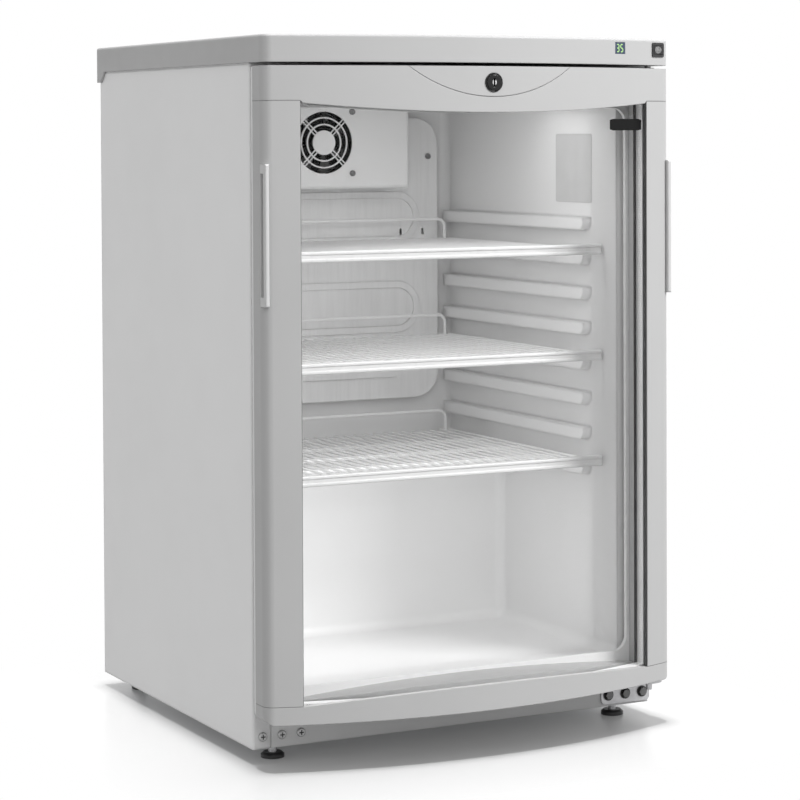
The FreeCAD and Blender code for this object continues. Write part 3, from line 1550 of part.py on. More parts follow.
def shelf_rails():
    """The raised wire along the back of each shelf, bent down to the rear bar."""
    group = doc.addObject("Part::Feature", "shelf_rails")
    rails = []
    for level in shelf_levels():
        foot = f"{level} + bar_diameter * sin(60) + seat_gap"
        top = f"{level} + bar_diameter + rail_rise"
        rails.append(bent_pipe([
            ("-rail_half", "shelf_rear_y", foot),
            ("-rail_half", "shelf_rear_y", top),
            ("rail_half", "shelf_rear_y", top),
            ("rail_half", "shelf_rear_y", foot),
        ], "bar_diameter - 1", "rail_bend"))
    group.Shape = Part.makeCompound(rails)
    return sub_part(group, "shelf_rails")


# Cold plate and fan

def evaporator_plate():
    """The roll-bond cold plate with its blown serpentine channel."""
    body = new_body("evaporator_plate")
    outline = rounded("-plate_half", "plate_bottom", "plate_half", "plate_top", "plate_radius")
    holes = [bolt_hole(x, z, "screw_shank") for x, z in plate_screw_spots()]
    hook_z = "(plate_top - hook_drop)"
    hooks = [
        rectangle(x, f"{hook_z} - hook_height", f"{x} + hook_width", hook_z)
        for x in ("hook_x", "(hook_x + hook_pitch)")
    ]
    pad(body, "XZ", "plate_front", "plate_thickness", outline, *holes, *hooks)
    pad(body, "XZ", "plate_front - channel_rise", "channel_rise", mirrored(channel_band()))
    return sub_part(body, "evaporator_plate")


def channel_band():
    """The outline of one serpentine band: up along its one side and back down along the other."""
    room = "(plate_top - plate_bottom - 2 * channel_margin)"
    runs = 2 * (math.floor(value(f"{room} / channel_pitch")) // 2) + 1
    bend = "(channel_pitch / 2)"
    reach = f"(plate_half - channel_margin - {bend})"

    def edge(offset, order):
        points = []
        for number in order:
            level = f"(plate_bottom + channel_margin + {number} * channel_pitch)"
            side = 1 if number % 2 == 0 else -1
            points.append((side, level, f"({level} - {side} * {offset})"))
        return points

    low, high = "(channel_width / 2)", "(-channel_width / 2)"
    loop = []
    outer = edge(low, range(runs))
    for number, (side, level, z) in enumerate(outer):
        radius = f"({bend} + {side} * channel_width / 2)"
        loop.append((f"{-side} * {reach}", z))
        if number < runs - 1:
            loop.append((f"{side} * {reach}", z, radius, side))
            loop.append((f"{side} * ({reach} + {radius})", f"{level} + {bend}", radius, side))
        else:
            loop.append((f"{side} * {reach}", z))
    inner = edge(high, reversed(range(runs)))
    for number, (side, level, z) in enumerate(inner):
        loop.append((f"{side} * {reach}", z))
        if number < runs - 1:
            radius = f"({bend} + {side} * channel_width / 2)"
            loop.append((f"{-side} * {reach}", z, radius, side))
            loop.append((f"{-side} * ({reach} + {radius})", f"{level} - {bend}", radius, side))
        else:
            loop.append((f"{-side} * {reach}", z))
    return loop


def plate_screw_spots():
    levels = ("plate_screw_low", "plate_screw_high")
    return [(f"{sign} * plate_screw_x", z) for z in levels for sign in (1, -1)]


def evaporator_screws():
    """Screws with stand-off sleeves between the cold plate and the liner's back wall."""
    pattern = new_body("evaporator_screw_pattern")
    pad(pattern, "XY", "-plate_stand - plate_thickness", "plate_stand", hexagon("0", "0", "sleeve_diameter"))
    pad(pattern, "XY", "-plate_thickness", "plate_thickness", polygon("0", "0", "screw_shank", 8))
    pad(pattern, "XY", "0", "screw_head_height", polygon("0", "0", "screw_head", 12))
    places = [spot(x, "plate_front", z, axis=(1, 0, 0), angle=90) for x, z in plate_screw_spots()]
    return sub_part(copies("evaporator_screws", (pattern, places)), "evaporator_screws")


def fan_screw_spots():
    half = "fan_spacing / 2"
    return [(f"{a} * {half}", f"fan_z + {b} * {half}") for a in (1, -1) for b in (1, -1)]


def fan_housing():
    """The fan box: open behind and above, with three rings of slots in front of the fan."""
    body = new_body("fan_housing")
    top = "liner_ceiling - fit_gap"
    depth = "plate_front - channel_rise - fit_gap - housing_y"
    front = rectangle("-housing_half", "housing_bottom", "housing_half", top)
    pad(body, "XZ", "housing_y", depth, front)
    upright = "housing_half"
    dress(
        body, "Fillet", "housing_corner",
        lambda edge: lies_at(edge, "Y", "housing_y") and not lies_at(edge, "Z", top),
    )
    inside = rectangle(
        f"housing_wall - {upright}",
        "housing_bottom + housing_wall",
        f"{upright} - housing_wall",
        f"{top} + overrun",
    )
    pocket(body, "XZ", "fan_y", f"{depth} + overrun", inside)
    screws = [bolt_hole(x, z, "screw_shank") for x, z in fan_screw_spots()]
    pocket(body, "XZ", "housing_y - overrun", "housing_wall + 2 * overrun", *screws)
    for ring in range(3):
        inner = f"(slot_first + {ring} * slot_pitch)"
        outer = f"({inner} + slot_width)"
        slots = [ring_slot(inner, outer, 90 * quarter) for quarter in range(4)]
        slots += [spoke_slot(inner, outer, 90 * quarter + 45) for quarter in range(4)]
        pocket(body, "XZ", "housing_y - overrun", "housing_wall + 2 * overrun", *slots)
    return sub_part(body, "fan_housing")


def ring_slot(inner, outer, turn):
    """A quarter of a ring slot, leaving a straight double rib on each diagonal."""
    points = []
    for radius, side in ((inner, -1), (outer, -1), (outer, 1), (inner, 1)):
        swing = f"(45 - asin(slot_spoke / 2 / {radius}) / 1 deg)"
        angle = f"({turn} + {side} * {swing})"
        points.append((f"{radius} * cos({angle})", f"fan_z + {radius} * sin({angle})"))
    return [points[0], points[1] + (outer, 1), points[2], points[3] + (inner, -1)]


def spoke_slot(inner, outer, turn):
    """The narrow cell between the two ribs of a spoke."""
    points = []
    for radius, side in ((inner, -1), (outer, -1), (outer, 1), (inner, 1)):
        swing = f"(asin((slot_spoke / 2 - slot_rib) / {radius}) / 1 deg)"
        angle = f"({turn} + {side} * {swing})"
        points.append((f"{radius} * cos({angle})", f"fan_z + {radius} * sin({angle})"))
    return points


def fan_frame():
    """The square fan frame with four struts to the motor's bearing boss."""
    body = new_body("fan_frame")
    half = "fan_size / 2"
    outline = rounded(f"-{half}", f"fan_z - {half}", half, f"fan_z + {half}", "4")
    opening = circle("0", "fan_z", "fan_opening")
    screws = [bolt_hole(x, z, "screw_shank") for x, z in fan_screw_spots()]
    pad(body, "XZ", "fan_y", "fan_depth", outline, opening, *screws)
    rear = "fan_y + fan_depth - fan_back"
    reach = "fan_opening / 2 + 1"
    strut = "fan_strut / 2"
    level = rectangle(f"-({reach})", f"fan_z - {strut}", reach, f"fan_z + {strut}")
    pad(body, "XZ", rear, "fan_back", level)
    upright = rectangle(f"-{strut}", f"fan_z - ({reach})", strut, f"fan_z + {reach}")
    pad(body, "XZ", rear, "fan_back", upright)
    pad(body, "XZ", rear, "fan_back", circle("0", "fan_z", "fan_hub"))
    pocket(
        body, "XZ", f"{rear} - overrun", "fan_back + 2 * overrun",
        circle("0", "fan_z", "fan_shaft + 2 * run_gap"),
    )
    return sub_part(body, "fan_frame")


def fan_rotor():
    """The fan's hub, its shaft and seven pitched blades, turning about the body's Y axis."""
    body = new_body("fan_rotor")
    front, back = "2.5", "fan_depth - fan_back - 1"
    pad(body, "XZ", front, f"{back} - {front}", circle("0", "0", "fan_hub"))
    dress(body, "Chamfer", "2", lambda edge: lies_at(edge, "Y", front))
    pad(body, "XZ", f"{back} - 1", "fan_back + 1", circle("0", "0", "fan_shaft"))
    middle = f"(({front} + {back}) / 2)"
    chord, thick = "(fan_blade_chord / 2)", "(fan_blade_thickness / 2)"
    section = []
    for along, across in ((-1, -1), (1, -1), (1, 1), (-1, 1)):
        y = f"{along} * {chord} * sin(fan_blade_pitch) + {across} * {thick} * cos(fan_blade_pitch)"
        z = f"{along} * {chord} * cos(fan_blade_pitch) - {across} * {thick} * sin(fan_blade_pitch)"
        section.append((f"{middle} + {y}", z))
    root = "fan_hub / 2 - 3"
    blade = pad(body, "YZ", root, f"fan_blade_tip * cos(15) - ({root})", section)
    ring = body.newObject("PartDesign::PolarPattern", "fan_blade_ring")
    ring.Originals = [blade]
    ring.Axis = (origin_feature(body, "Y_Axis"), [""])
    ring.Angle = 360
    ring.setExpression("Occurrences", cell("fan_blades"))
    body.Tip = ring
    doc.recompute()
    return sub_part(place(body, "0", "fan_y", "fan_z"), "fan_rotor")


def fan_screws():
    """Four screws that hold the fan frame behind the housing."""
    pattern = new_body("fan_screw_pattern")
    length = "(housing_wall + fan_depth)"
    pad(pattern, "XY", f"-{length}", length, polygon("0", "0", "screw_shank", 8))
    pad(pattern, "XY", "0", "screw_head_height", polygon("0", "0", "screw_head", 12))
    places = [spot(x, "housing_y", z, axis=(1, 0, 0), angle=90) for x, z in fan_screw_spots()]
    return sub_part(copies("fan_screws", (pattern, places)), "fan_screws")


def interior_lamp():
    """The lamp's cover on the liner's ceiling, behind the door."""
    body = new_body("interior_lamp")
    front = "flange_y + lamp_front"
    low = "liner_ceiling - lamp_height"
    plan = rounded("-lamp_half", front, "lamp_half", f"{front} + lamp_depth", "lamp_round")
    pad(body, "XY", low, "lamp_height", plan)
    dress(body, "Fillet", "lamp_round - 1", lambda edge: lies_at(edge, "Z", low))
    return sub_part(body, "interior_lamp")


# Machine space

def compressor():
    """The hermetic pot: lower bowl, welded seam, domed lid and a foot plate."""
    body = new_body("compressor")
    radius = "pot_diameter / 2"
    seam = f"({radius} + pot_seam_width)"
    revolve(body, [
        ("0", "pot_z"),
        (f"{radius} - pot_round", "pot_z"),
        (radius, "pot_z + pot_round"),
        (radius, "pot_z + pot_seam"),
        (seam, "pot_z + pot_seam"),
        (seam, "pot_z + pot_seam + pot_seam_height"),
        (radius, "pot_z + pot_seam + pot_seam_height"),
        (radius, "pot_z + pot_height - pot_round"),
        (f"{radius} - 0.3 * pot_round", "pot_z + pot_height - 0.3 * pot_round"),
        (f"{radius} - pot_round", "pot_z + pot_height"),
        ("0", "pot_z + pot_height"),
    ])
    deep = "pot_foot_depth / 2"
    foot = rectangle("-pot_foot_half", f"-{deep}", "pot_foot_half", deep)
    holes = [bolt_hole(x, y, "mount_bolt") for x, y in mount_spots()]
    pad(body, "XY", "pot_foot_z", "pot_foot_sheet", foot, *holes)
    return sub_part(place(body, "pot_x", "pot_y"), "compressor")


def mount_spots():
    return [(f"{a} * mount_x", f"{b} * mount_y") for a in (1, -1) for b in (1, -1)]


def compressor_mounts():
    """Rubber mounts, each with the stud that holds the compressor's foot."""
    pattern = new_body("compressor_mount_pattern")
    pad(pattern, "XY", "0", "mount_height", polygon("0", "0", "mount_diameter", 12))
    pad(pattern, "XY", "mount_height", "3 * pot_foot_sheet", polygon("0", "0", "mount_bolt", 8))
    places = [spot(f"pot_x + {x}", f"pot_y + {y}", "mount_low") for x, y in mount_spots()]
    return sub_part(copies("compressor_mounts", (pattern, places)), "compressor_mounts")


def terminal_box():
    """The electrical box on the pot's side, hollowed to the pot, with the cord's gland."""
    body = new_body("terminal_box_moulding")
    pot = "pot_diameter / 2 + seat_gap"
    far = "pot_diameter / 2 + terminal_width"
    near = f"sqrt(({pot}) ^ 2 - (terminal_depth / 2) ^ 2)"
    deep = "(terminal_depth / 2)"
    low = "pot_z + terminal_lift"
    plan = [
        (near, f"-{deep}"),
        (f"{far} - 6", f"-{deep}", "6", 1),
        (far, f"6 - {deep}"),
        (far, f"{deep} - 6", "6", 1),
        (f"{far} - 6", deep),
        (near, deep, pot, -1),
    ]
    below_seam = "pot_seam - terminal_lift - seat_gap"
    pad(body, "XY", low, below_seam, plan)
    place(body, "pot_x", "pot_y")
    gland = new_body("cord_gland")
    bore = circle("0", "0", "gland_bore")
    pad(gland, "XY", "0", "4", circle("0", "0", "gland_diameter + 6"), bore)
    pad(gland, "XY", "4", "gland_length - 4", circle("0", "0", "gland_diameter"), bore)
    gland_x = f"pot_x + {far} - terminal_width / 2"
    outlet = spot(gland_x, f"pot_y + {deep}", f"{low} + gland_rise", (1, 0, 0), -90)
    turned = copies("cord_gland_set", (gland, [outlet]))
    box = doc.addObject("Part::Compound", "terminal_box_set")
    box.Links = [body, turned]
    doc.recompute()
    return sub_part(box, "terminal_box")


def drip_tray():
    """The tray on the compressor's lid where defrost water dries off."""
    body = new_body("drip_tray")
    front, back = "-tray_depth / 2", "tray_depth / 2"
    pad(body, "XY", "tray_z", "tray_height", rounded("-tray_half", front, "tray_half", back, "10"))
    wall = "tray_wall"
    left, right = f"{wall} - tray_half", f"tray_half - {wall}"
    inside = rounded(left, f"{front} + {wall}", right, f"{back} - {wall}", "8")
    pocket(body, "XY", f"tray_z + {wall}", "tray_height", inside)
    return sub_part(place(body, "pot_x", "pot_y"), "drip_tray")


def condenser():
    """The wire-on-tube condenser: one serpentine tube with a row of wires behind it."""
    bend = "(condenser_pitch / 2)"
    reach = f"(condenser_half - {bend})"
    radius = value(bend)
    runs = int(value("condenser_runs"))
    route = []
    for number in range(runs):
        side = 1 if number % 2 == 0 else -1
        level = value(f"condenser_low + {number} * condenser_pitch")
        if number == 0:
            route.append(FreeCAD.Vector(value(f"{-side} * {reach}"), value("condenser_y"), level))
        if number == runs - 1:
            route.append(FreeCAD.Vector(value(f"{side} * {reach}"), value("condenser_y"), level))
            continue
        middle = FreeCAD.Vector(value(f"{side} * {reach}"), value("condenser_y"), level + radius)
        for part in range(6):
            turn = math.radians(36 * part - 90)
            route.append(middle + FreeCAD.Vector(side * math.cos(turn), 0, math.sin(turn)) * radius)
    tube = mitred_pipe(route, "condenser_tube")
    wire_y = value("condenser_y + condenser_tube / 2 + condenser_wire / 2")
    low = value("condenser_low - condenser_wire_over")
    length = value("condenser_high - condenser_low + 2 * condenser_wire_over")
    spaces = math.floor(value(f"2 * {reach} / condenser_wire_pitch"))
    wires = []
    for number in range(spaces + 1):
        x = (number - spaces / 2) * value("condenser_wire_pitch")
        foot = FreeCAD.Vector(x, wire_y, low)
        outline = hexagon_wire(foot, FreeCAD.Vector(0, 0, 1), value("condenser_wire / 2"))
        wires.append(Part.Face(outline).extrude(FreeCAD.Vector(0, 0, length)))
    group = doc.addObject("Part::Feature", "condenser")
    group.Shape = Part.makeCompound([tube, *wires])
    return sub_part(group, "condenser")


def condenser_clips():
    """Snap clips that hold the condenser's tube off the back panel."""
    pattern = new_body("condenser_clip_pattern")
    grip = "(condenser_tube / 2 + seat_gap)"
    tall = "clip_half_height"
    open_y = "condenser_stand + 1"
    pad(pattern, "YZ", "-clip_width / 2", "clip_width", [
        ("0", f"-{tall}"),
        (open_y, f"-{tall}"),
        (open_y, f"-{grip}"),
        (f"condenser_stand - {grip}", f"-{grip}"),
        (f"condenser_stand - {grip}", grip),
        (open_y, grip),
        (open_y, tall),
        ("0", tall),
    ])
    rows = [f"condenser_low + {number} * condenser_pitch" for number in (1, 4, 7)]
    places = [spot(f"{sign} * clip_x", "back_y", z) for z in rows for sign in (1, -1)]
    return sub_part(copies("condenser_clips", (pattern, places)), "condenser_clips")


def refrigerant_lines():
    """The filter drier and the pipes between compressor, condenser and drier."""
    drier = new_body("filter_drier")
    radius, neck = "drier_diameter / 2", "pipe_diameter / 2 + 1"
    revolve(drier, [
        ("0", "drier_low"),
        (neck, "drier_low"),
        (radius, "drier_low + drier_diameter / 2"),
        (radius, "drier_low + drier_length - drier_diameter / 2"),
        (neck, "drier_low + drier_length"),
        ("0", "drier_low + drier_length"),
    ])
    place(drier, "drier_x", "condenser_y - drier_diameter")
    pot_side = "pot_x - pot_diameter / 2 - seat_gap"
    stub_z = "pot_z + pot_seam / 2"
    tube_end = "-(condenser_half - condenser_pitch / 2) - seat_gap"
    discharge = bent_pipe([
        (pot_side, "pot_y", stub_z),
        (f"{pot_side} - 40", "pot_y", stub_z),
        (f"{pot_side} - 40", "condenser_y", stub_z),
        (f"{tube_end} - 30", "condenser_y", stub_z),
        (f"{tube_end} - 30", "condenser_y", "condenser_low"),
        (tube_end, "condenser_y", "condenser_low"),
    ], "pipe_diameter - 1", "pipe_bend")
    drier_top = "drier_low + drier_length + seat_gap"
    drier_y = "condenser_y - drier_diameter"
    suction = bent_pipe([
        ("drier_x", drier_y, drier_top),
        ("drier_x", drier_y, "machine_ceiling - sheet - 20"),
        ("drier_x + 60", drier_y, "machine_ceiling - sheet - 20"),
        ("drier_x + 60", drier_y, "machine_ceiling - sheet - seat_gap"),
    ], "pipe_diameter", "pipe_bend / 2")
    group = doc.addObject("Part::Feature", "refrigerant_pipes")
    group.Shape = Part.makeCompound([discharge, suction])
    return sub_part(drier, "filter_drier"), sub_part(group, "refrigerant_pipes")


# Build order: shell, top, door, fittings, inside, machine space

side_panel("side_panel_left", right=False)
side_panel("side_panel_right", right=True)
front_rail()
base_pan()
back_panel()
top_panel()
insulation_foam()
inner_liner()
worktop()
worktop_cover()
display_module()
switch()
door_top_cap()
lock_plate()
door_bottom_cap()
door_stile("door_stile_left", right=False)
door_stile("door_stile_right", right=True)
door_rear_frame()
door_gasket()
glazing()
grip_handle("handle_left", right=False)
grip_handle("handle_right", right=True)
lock()
hinge_bracket()
hinge_top_plate()
hinge_pins()
hinge_bushes()
hinge_bolts()
blanking_screws()
feet()
shelf_wires()
shelf_trims()
shelf_rails()
evaporator_plate()
evaporator_screws()
fan_housing()
fan_frame()
fan_rotor()
fan_screws()
interior_lamp()
compressor()
compressor_mounts()
terminal_box()
drip_tray()
condenser()
condenser_clips()
refrigerant_lines()
doc.recompute()

# Every object has to have been worked out, and every piece has to be a sound solid
failed = [item.Label for item in doc.Objects if "Invalid" in item.State or "Error" in item.State]
if failed:
    raise RuntimeError(f"not worked out: {', '.join(failed)}")
unsound = [
    piece.Label for piece in sub_parts
    if piece.Shape.isNull() or not piece.Shape.isValid() or not piece.Shape.Solids
]
if unsound:
    raise RuntimeError(f"not sound solids: {', '.join(unsound)}")

os.makedirs("parts", exist_ok=True)
for piece in sub_parts:
    piece.Shape.exportStep(f"parts/{piece.Label}.step")
print(f"{len(sub_parts)} pieces written")
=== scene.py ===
import math

import bmesh
import bpy
from mathutils import Matrix, Vector


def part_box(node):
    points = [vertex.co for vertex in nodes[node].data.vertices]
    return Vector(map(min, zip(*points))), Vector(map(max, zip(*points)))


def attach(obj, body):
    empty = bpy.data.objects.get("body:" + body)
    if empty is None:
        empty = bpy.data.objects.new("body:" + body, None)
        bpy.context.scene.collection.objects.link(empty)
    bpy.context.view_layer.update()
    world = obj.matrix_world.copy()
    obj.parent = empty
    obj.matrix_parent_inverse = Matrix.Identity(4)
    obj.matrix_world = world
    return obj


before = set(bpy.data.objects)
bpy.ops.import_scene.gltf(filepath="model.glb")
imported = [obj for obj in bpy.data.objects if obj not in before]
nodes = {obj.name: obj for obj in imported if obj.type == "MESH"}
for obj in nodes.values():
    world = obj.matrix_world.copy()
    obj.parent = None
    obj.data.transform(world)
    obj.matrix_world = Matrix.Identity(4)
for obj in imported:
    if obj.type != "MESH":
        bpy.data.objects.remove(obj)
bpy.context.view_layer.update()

MM = 0.001

# Sizes in mm of the CAD that the marks and pieces follow
BOW_CENTRE = 476.76
OPENING_HALF = 233.0
DOOR_SEAMS = (75.5, 774.0)
BLANKING_X = -259.0
BOLT_PITCH = 24.5
BOLT_Z = 32.0
SOLE_TOP = 6.6
STUD_RADIUS = 5.0
LINER_WALL = 224.9
FEET = ("front_left", "front_right", "rear_left", "rear_right")


# Shader nodes


def tree_of(name):
    """A new material, its node tree and its Principled shader."""
    material = bpy.data.materials.new(name)
    material.use_nodes = True
    tree = material.node_tree
    return material, tree, tree.nodes["Principled BSDF"]


def add(tree, kind, inputs=None, **settings):
    """A node with its settings and unlinked inputs set."""
    made = tree.nodes.new(kind)
    for key, setting in settings.items():
        setattr(made, key, setting)
    for key, setting in (inputs or {}).items():
        made.inputs[key].default_value = setting
    return made


def feed(tree, source, target, into):
    """Links a (node, output) pair to a node's input."""
    tree.links.new(source[0].outputs[source[1]], target.inputs[into])


def place(tree, scale=(1, 1, 1)):
    """Object coordinates in metres, stretched by scale."""
    spot = add(tree, "ShaderNodeTexCoord")
    stretch = add(tree, "ShaderNodeMapping", {"Scale": scale})
    feed(tree, (spot, "Object"), stretch, "Vector")
    return stretch, "Vector"


def noise(tree, scale, detail=3.0, stretch=(1, 1, 1)):
    """Smooth noise, finer with a larger scale."""
    made = add(tree, "ShaderNodeTexNoise", {"Scale": scale, "Detail": detail})
    feed(tree, place(tree, stretch), made, "Vector")
    return made, "Fac"


def spread(tree, source, low, high, start=0.3, end=0.7):
    """The source's value from start to end, laid over low to high."""
    limits = {"From Min": start, "From Max": end, "To Min": low, "To Max": high}
    made = add(tree, "ShaderNodeMapRange", limits)
    feed(tree, source, made, "Value")
    return made, "Result"


def tint(tree, factor, first, second):
    """A colour between two, each a colour or a source, by the factor."""
    made = add(tree, "ShaderNodeMix", data_type="RGBA")
    feed(tree, factor, made, 0)
    for number, colour in ((6, first), (7, second)):
        if isinstance(colour[0], bpy.types.Node):
            feed(tree, colour, made, number)
        else:
            made.inputs[number].default_value = (*colour, 1)
    return made, 2


def grey(tone):
    return tone, tone, tone


def shade(colour, by):
    """A colour made lighter or darker."""
    return tuple(min(1.0, part * by) for part in colour)


def work(tree, operation, first, second=None, third=None):
    """A Math node on numbers or sources."""
    made = add(tree, "ShaderNodeMath", operation=operation)
    for number, part in enumerate((first, second, third)):
        if isinstance(part, tuple):
            feed(tree, part, made, number)
        elif part is not None:
            made.inputs[number].default_value = part
    return made, "Value"


def axis_of(tree, letter):
    """One object coordinate in metres."""
    spot = add(tree, "ShaderNodeTexCoord")
    split = add(tree, "ShaderNodeSeparateXYZ")
    feed(tree, (spot, "Object"), split, "Vector")
    return split, letter


def near(tree, source, middle, half):
    """1 where the source lies within half of the middle."""
    return work(tree, "COMPARE", source, middle, half)


def both(tree, first, second):
    return work(tree, "MULTIPLY", first, second)


def either(tree, first, second):
    return work(tree, "MAXIMUM", first, second)


def rounded_normal(tree, bsdf, edge, height=None, strength=0.1, depth=0.0002):
    """Softened edges, with an optional relief on top of them."""
    normal = None
    if edge:
        normal = add(tree, "ShaderNodeBevel", {"Radius": edge}, samples=4), "Normal"
    if height is not None:
        bump = add(tree, "ShaderNodeBump", {"Strength": strength, "Distance": depth})
        feed(tree, height, bump, "Height")
        if normal is not None:
            feed(tree, normal, bump, "Normal")
        normal = bump, "Normal"
    if normal is not None:
        feed(tree, normal, bsdf, "Normal")


# Materials


GLOSS_SWAY = 0.05


def finish(name, colour, rough, metal=0.0, vary=0.03, blotch=18, grain=1400, relief=0.06,
           edge=0.0008, depth=0.0002, specular=0.5, mark=None, marked=None):
    """A moulded, painted or bare surface: tone drift, uneven gloss, fine grain and soft edges.

    mark is a function that gives a mask on the tree, and marked the colour under the mask.
    """
    material, tree, bsdf = tree_of(name)
    drift = spread(tree, noise(tree, blotch, 4.0), 0.0, 1.0)
    tone = tint(tree, drift, shade(colour, 1 - vary), shade(colour, 1 + vary))
    if mark:
        tone = tint(tree, mark(tree), tone, marked)
    feed(tree, tone, bsdf, "Base Color")
    gloss = noise(tree, blotch * 5, 2.0)
    feed(tree, spread(tree, gloss, rough - GLOSS_SWAY, rough + GLOSS_SWAY), bsdf, "Roughness")
    bsdf.inputs["Metallic"].default_value = metal
    bsdf.inputs["Specular IOR Level"].default_value = specular
    rounded_normal(tree, bsdf, edge, noise(tree, grain, 2.0), relief, depth)
    return material


def seam_shade_lines(tree):
    """Painted shade: a dark line standing in for the shadow in the joints between a stile and the
    two caps.
    """
    half = 0.8 * MM
    low, high = (near(tree, axis_of(tree, "Z"), level * MM, half) for level in DOOR_SEAMS)
    return either(tree, low, high)


def oval(tree, x, z, half_x, half_z):
    """1 inside an upright oval, seen from the front."""
    parts = []
    for letter, middle, half in (("X", x, half_x), ("Z", z, half_z)):
        offset = work(tree, "SUBTRACT", axis_of(tree, letter), middle * MM)
        parts.append(work(tree, "POWER", work(tree, "DIVIDE", offset, half * MM), 2.0))
    return work(tree, "LESS_THAN", work(tree, "ADD", *parts), 1.0)


def lit_bolt_heads(tree):
    """Painted light: the front of the hinge bolts lighter than their flanges, which are left dark
    as painted shade.
    """
    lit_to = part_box("hinge_bolts")[0].y + 1.0 * MM
    return work(tree, "LESS_THAN", axis_of(tree, "Y"), lit_to)


def streaks(tree):
    """Faint darker upright streaks on the cold plate."""
    return spread(tree, noise(tree, 260, 2.0, (1, 1, 0.05)), 0.0, 0.4, 0.4, 0.75)


def rocker_mark(tree):
    """A worn pale patch on the middle of the switch."""
    low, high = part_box("switch_rocker")
    x, z = (low.x + high.x) / 2 / MM, (low.z + high.z) / 2 / MM
    half_x, half_z = 5.2, 4.4
    wear = spread(tree, noise(tree, 500), 0.35, 1.0)
    return both(tree, oval(tree, x, z, half_x, half_z), wear)


def thin_glass(name, head_on, tone):
    """A clear pane: light goes straight through, and gloss grows from head_on to 1 at a slant."""
    material, tree, bsdf = tree_of(name)
    tree.nodes.remove(bsdf)
    clear = add(tree, "ShaderNodeBsdfTransparent", {"Color": (*tone, 1)})
    gloss = add(tree, "ShaderNodeBsdfGlossy")
    smear = noise(tree, 9, 3.0, (1, 1, 0.4))
    feed(tree, spread(tree, smear, 0.01, 0.05), gloss, "Roughness")
    facing = add(tree, "ShaderNodeLayerWeight", {"Blend": 0.5}), "Facing"
    slant = work(tree, "POWER", facing, 5.0)
    mix = add(tree, "ShaderNodeMixShader")
    feed(tree, spread(tree, slant, head_on, 1.0, 0.0, 1.0), mix, 0)
    feed(tree, (clear, "BSDF"), mix, 1)
    feed(tree, (gloss, "BSDF"), mix, 2)
    feed(tree, (mix, "Shader"), tree.nodes["Material Output"], "Surface")
    return material


def galvanised(name):
    """Zinc-coated sheet with faint crystal spangles."""
    material, tree, bsdf = tree_of(name)
    flake = add(tree, "ShaderNodeTexVoronoi", {"Scale": 90.0})
    feed(tree, place(tree), flake, "Vector")
    dark, light = (0.46, 0.47, 0.48), (0.62, 0.63, 0.64)
    feed(tree, tint(tree, (flake, "Color"), dark, light), bsdf, "Base Color")
    feed(tree, spread(tree, (flake, "Distance"), 0.32, 0.5, 0.0, 0.7), bsdf, "Roughness")
    bsdf.inputs["Metallic"].default_value = 0.85
    rounded_normal(tree, bsdf, 0.0006, noise(tree, 500), 0.05)
    return material


def perforated(name):
    """Aluminium spacer bar with rows of fine pinholes."""
    material, tree, bsdf = tree_of(name)
    dots = add(tree, "ShaderNodeTexVoronoi", {"Scale": 330.0, "Randomness": 0.0})
    feed(tree, place(tree), dots, "Vector")
    hole = work(tree, "LESS_THAN", (dots, "Distance"), 0.24)
    feed(tree, tint(tree, hole, grey(0.96), grey(0.5)), bsdf, "Base Color")
    feed(tree, spread(tree, noise(tree, 120), 0.35, 0.5), bsdf, "Roughness")
    return material


SOLE_BLACK, STUD_STEEL = (0.02, 0.02, 0.021), (0.56, 0.56, 0.57)


def screw_foot(name):
    """A black moulded sole on a bright stud."""
    material, tree, bsdf = tree_of(name)
    stud = work(tree, "GREATER_THAN", axis_of(tree, "Z"), SOLE_TOP * MM)
    feed(tree, tint(tree, stud, SOLE_BLACK, STUD_STEEL), bsdf, "Base Color")
    feed(tree, stud, bsdf, "Metallic")
    worn = spread(tree, noise(tree, 400), 0.0, 0.12)
    feed(tree, work(tree, "SUBTRACT", 0.42, worn), bsdf, "Roughness")
    rounded_normal(tree, bsdf, 0.0008, noise(tree, 900), 0.05)
    return material


def lock_barrel(name):
    """Black-plated lock barrel, polished, with a bright plug at its middle."""
    material, tree, bsdf = tree_of(name)
    low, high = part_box("lock_cylinder")
    middle = (low.z + high.z) / 2 / MM
    front = work(tree, "LESS_THAN", axis_of(tree, "Y"), low.y + 0.4 * MM)
    half_x, half_z = 2.6, 3.6
    plug = both(tree, oval(tree, 0, middle, half_x, half_z), front)
    feed(tree, tint(tree, plug, grey(0.012), grey(0.85)), bsdf, "Base Color")
    feed(tree, plug, bsdf, "Metallic")
    bsdf.inputs["Specular IOR Level"].default_value = 0.3
    feed(tree, spread(tree, noise(tree, 700), 0.08, 0.16), bsdf, "Roughness")
    rounded_normal(tree, bsdf, 0.0025)
    return material


def glowing(name, colour, strength):
    """A lit surface with a slight drift in its tone."""
    material, tree, bsdf = tree_of(name)
    tone = tint(tree, spread(tree, noise(tree, 60, 2.0), 0, 1), shade(colour, 0.94), colour)
    feed(tree, tone, bsdf, "Base Color")
    feed(tree, tone, bsdf, "Emission Color")
    bsdf.inputs["Emission Strength"].default_value = strength
    feed(tree, spread(tree, noise(tree, 300), 0.25, 0.35), bsdf, "Roughness")
    return material


SILVER = grey(0.48)
SHEET = {"vary": 0.012, "blotch": 6, "grain": 900, "relief": 0.03}
MOULDED = {"vary": 0.015, "blotch": 8, "grain": 1600, "relief": 0.05, "specular": 0.2,
           "edge": 0.0014}

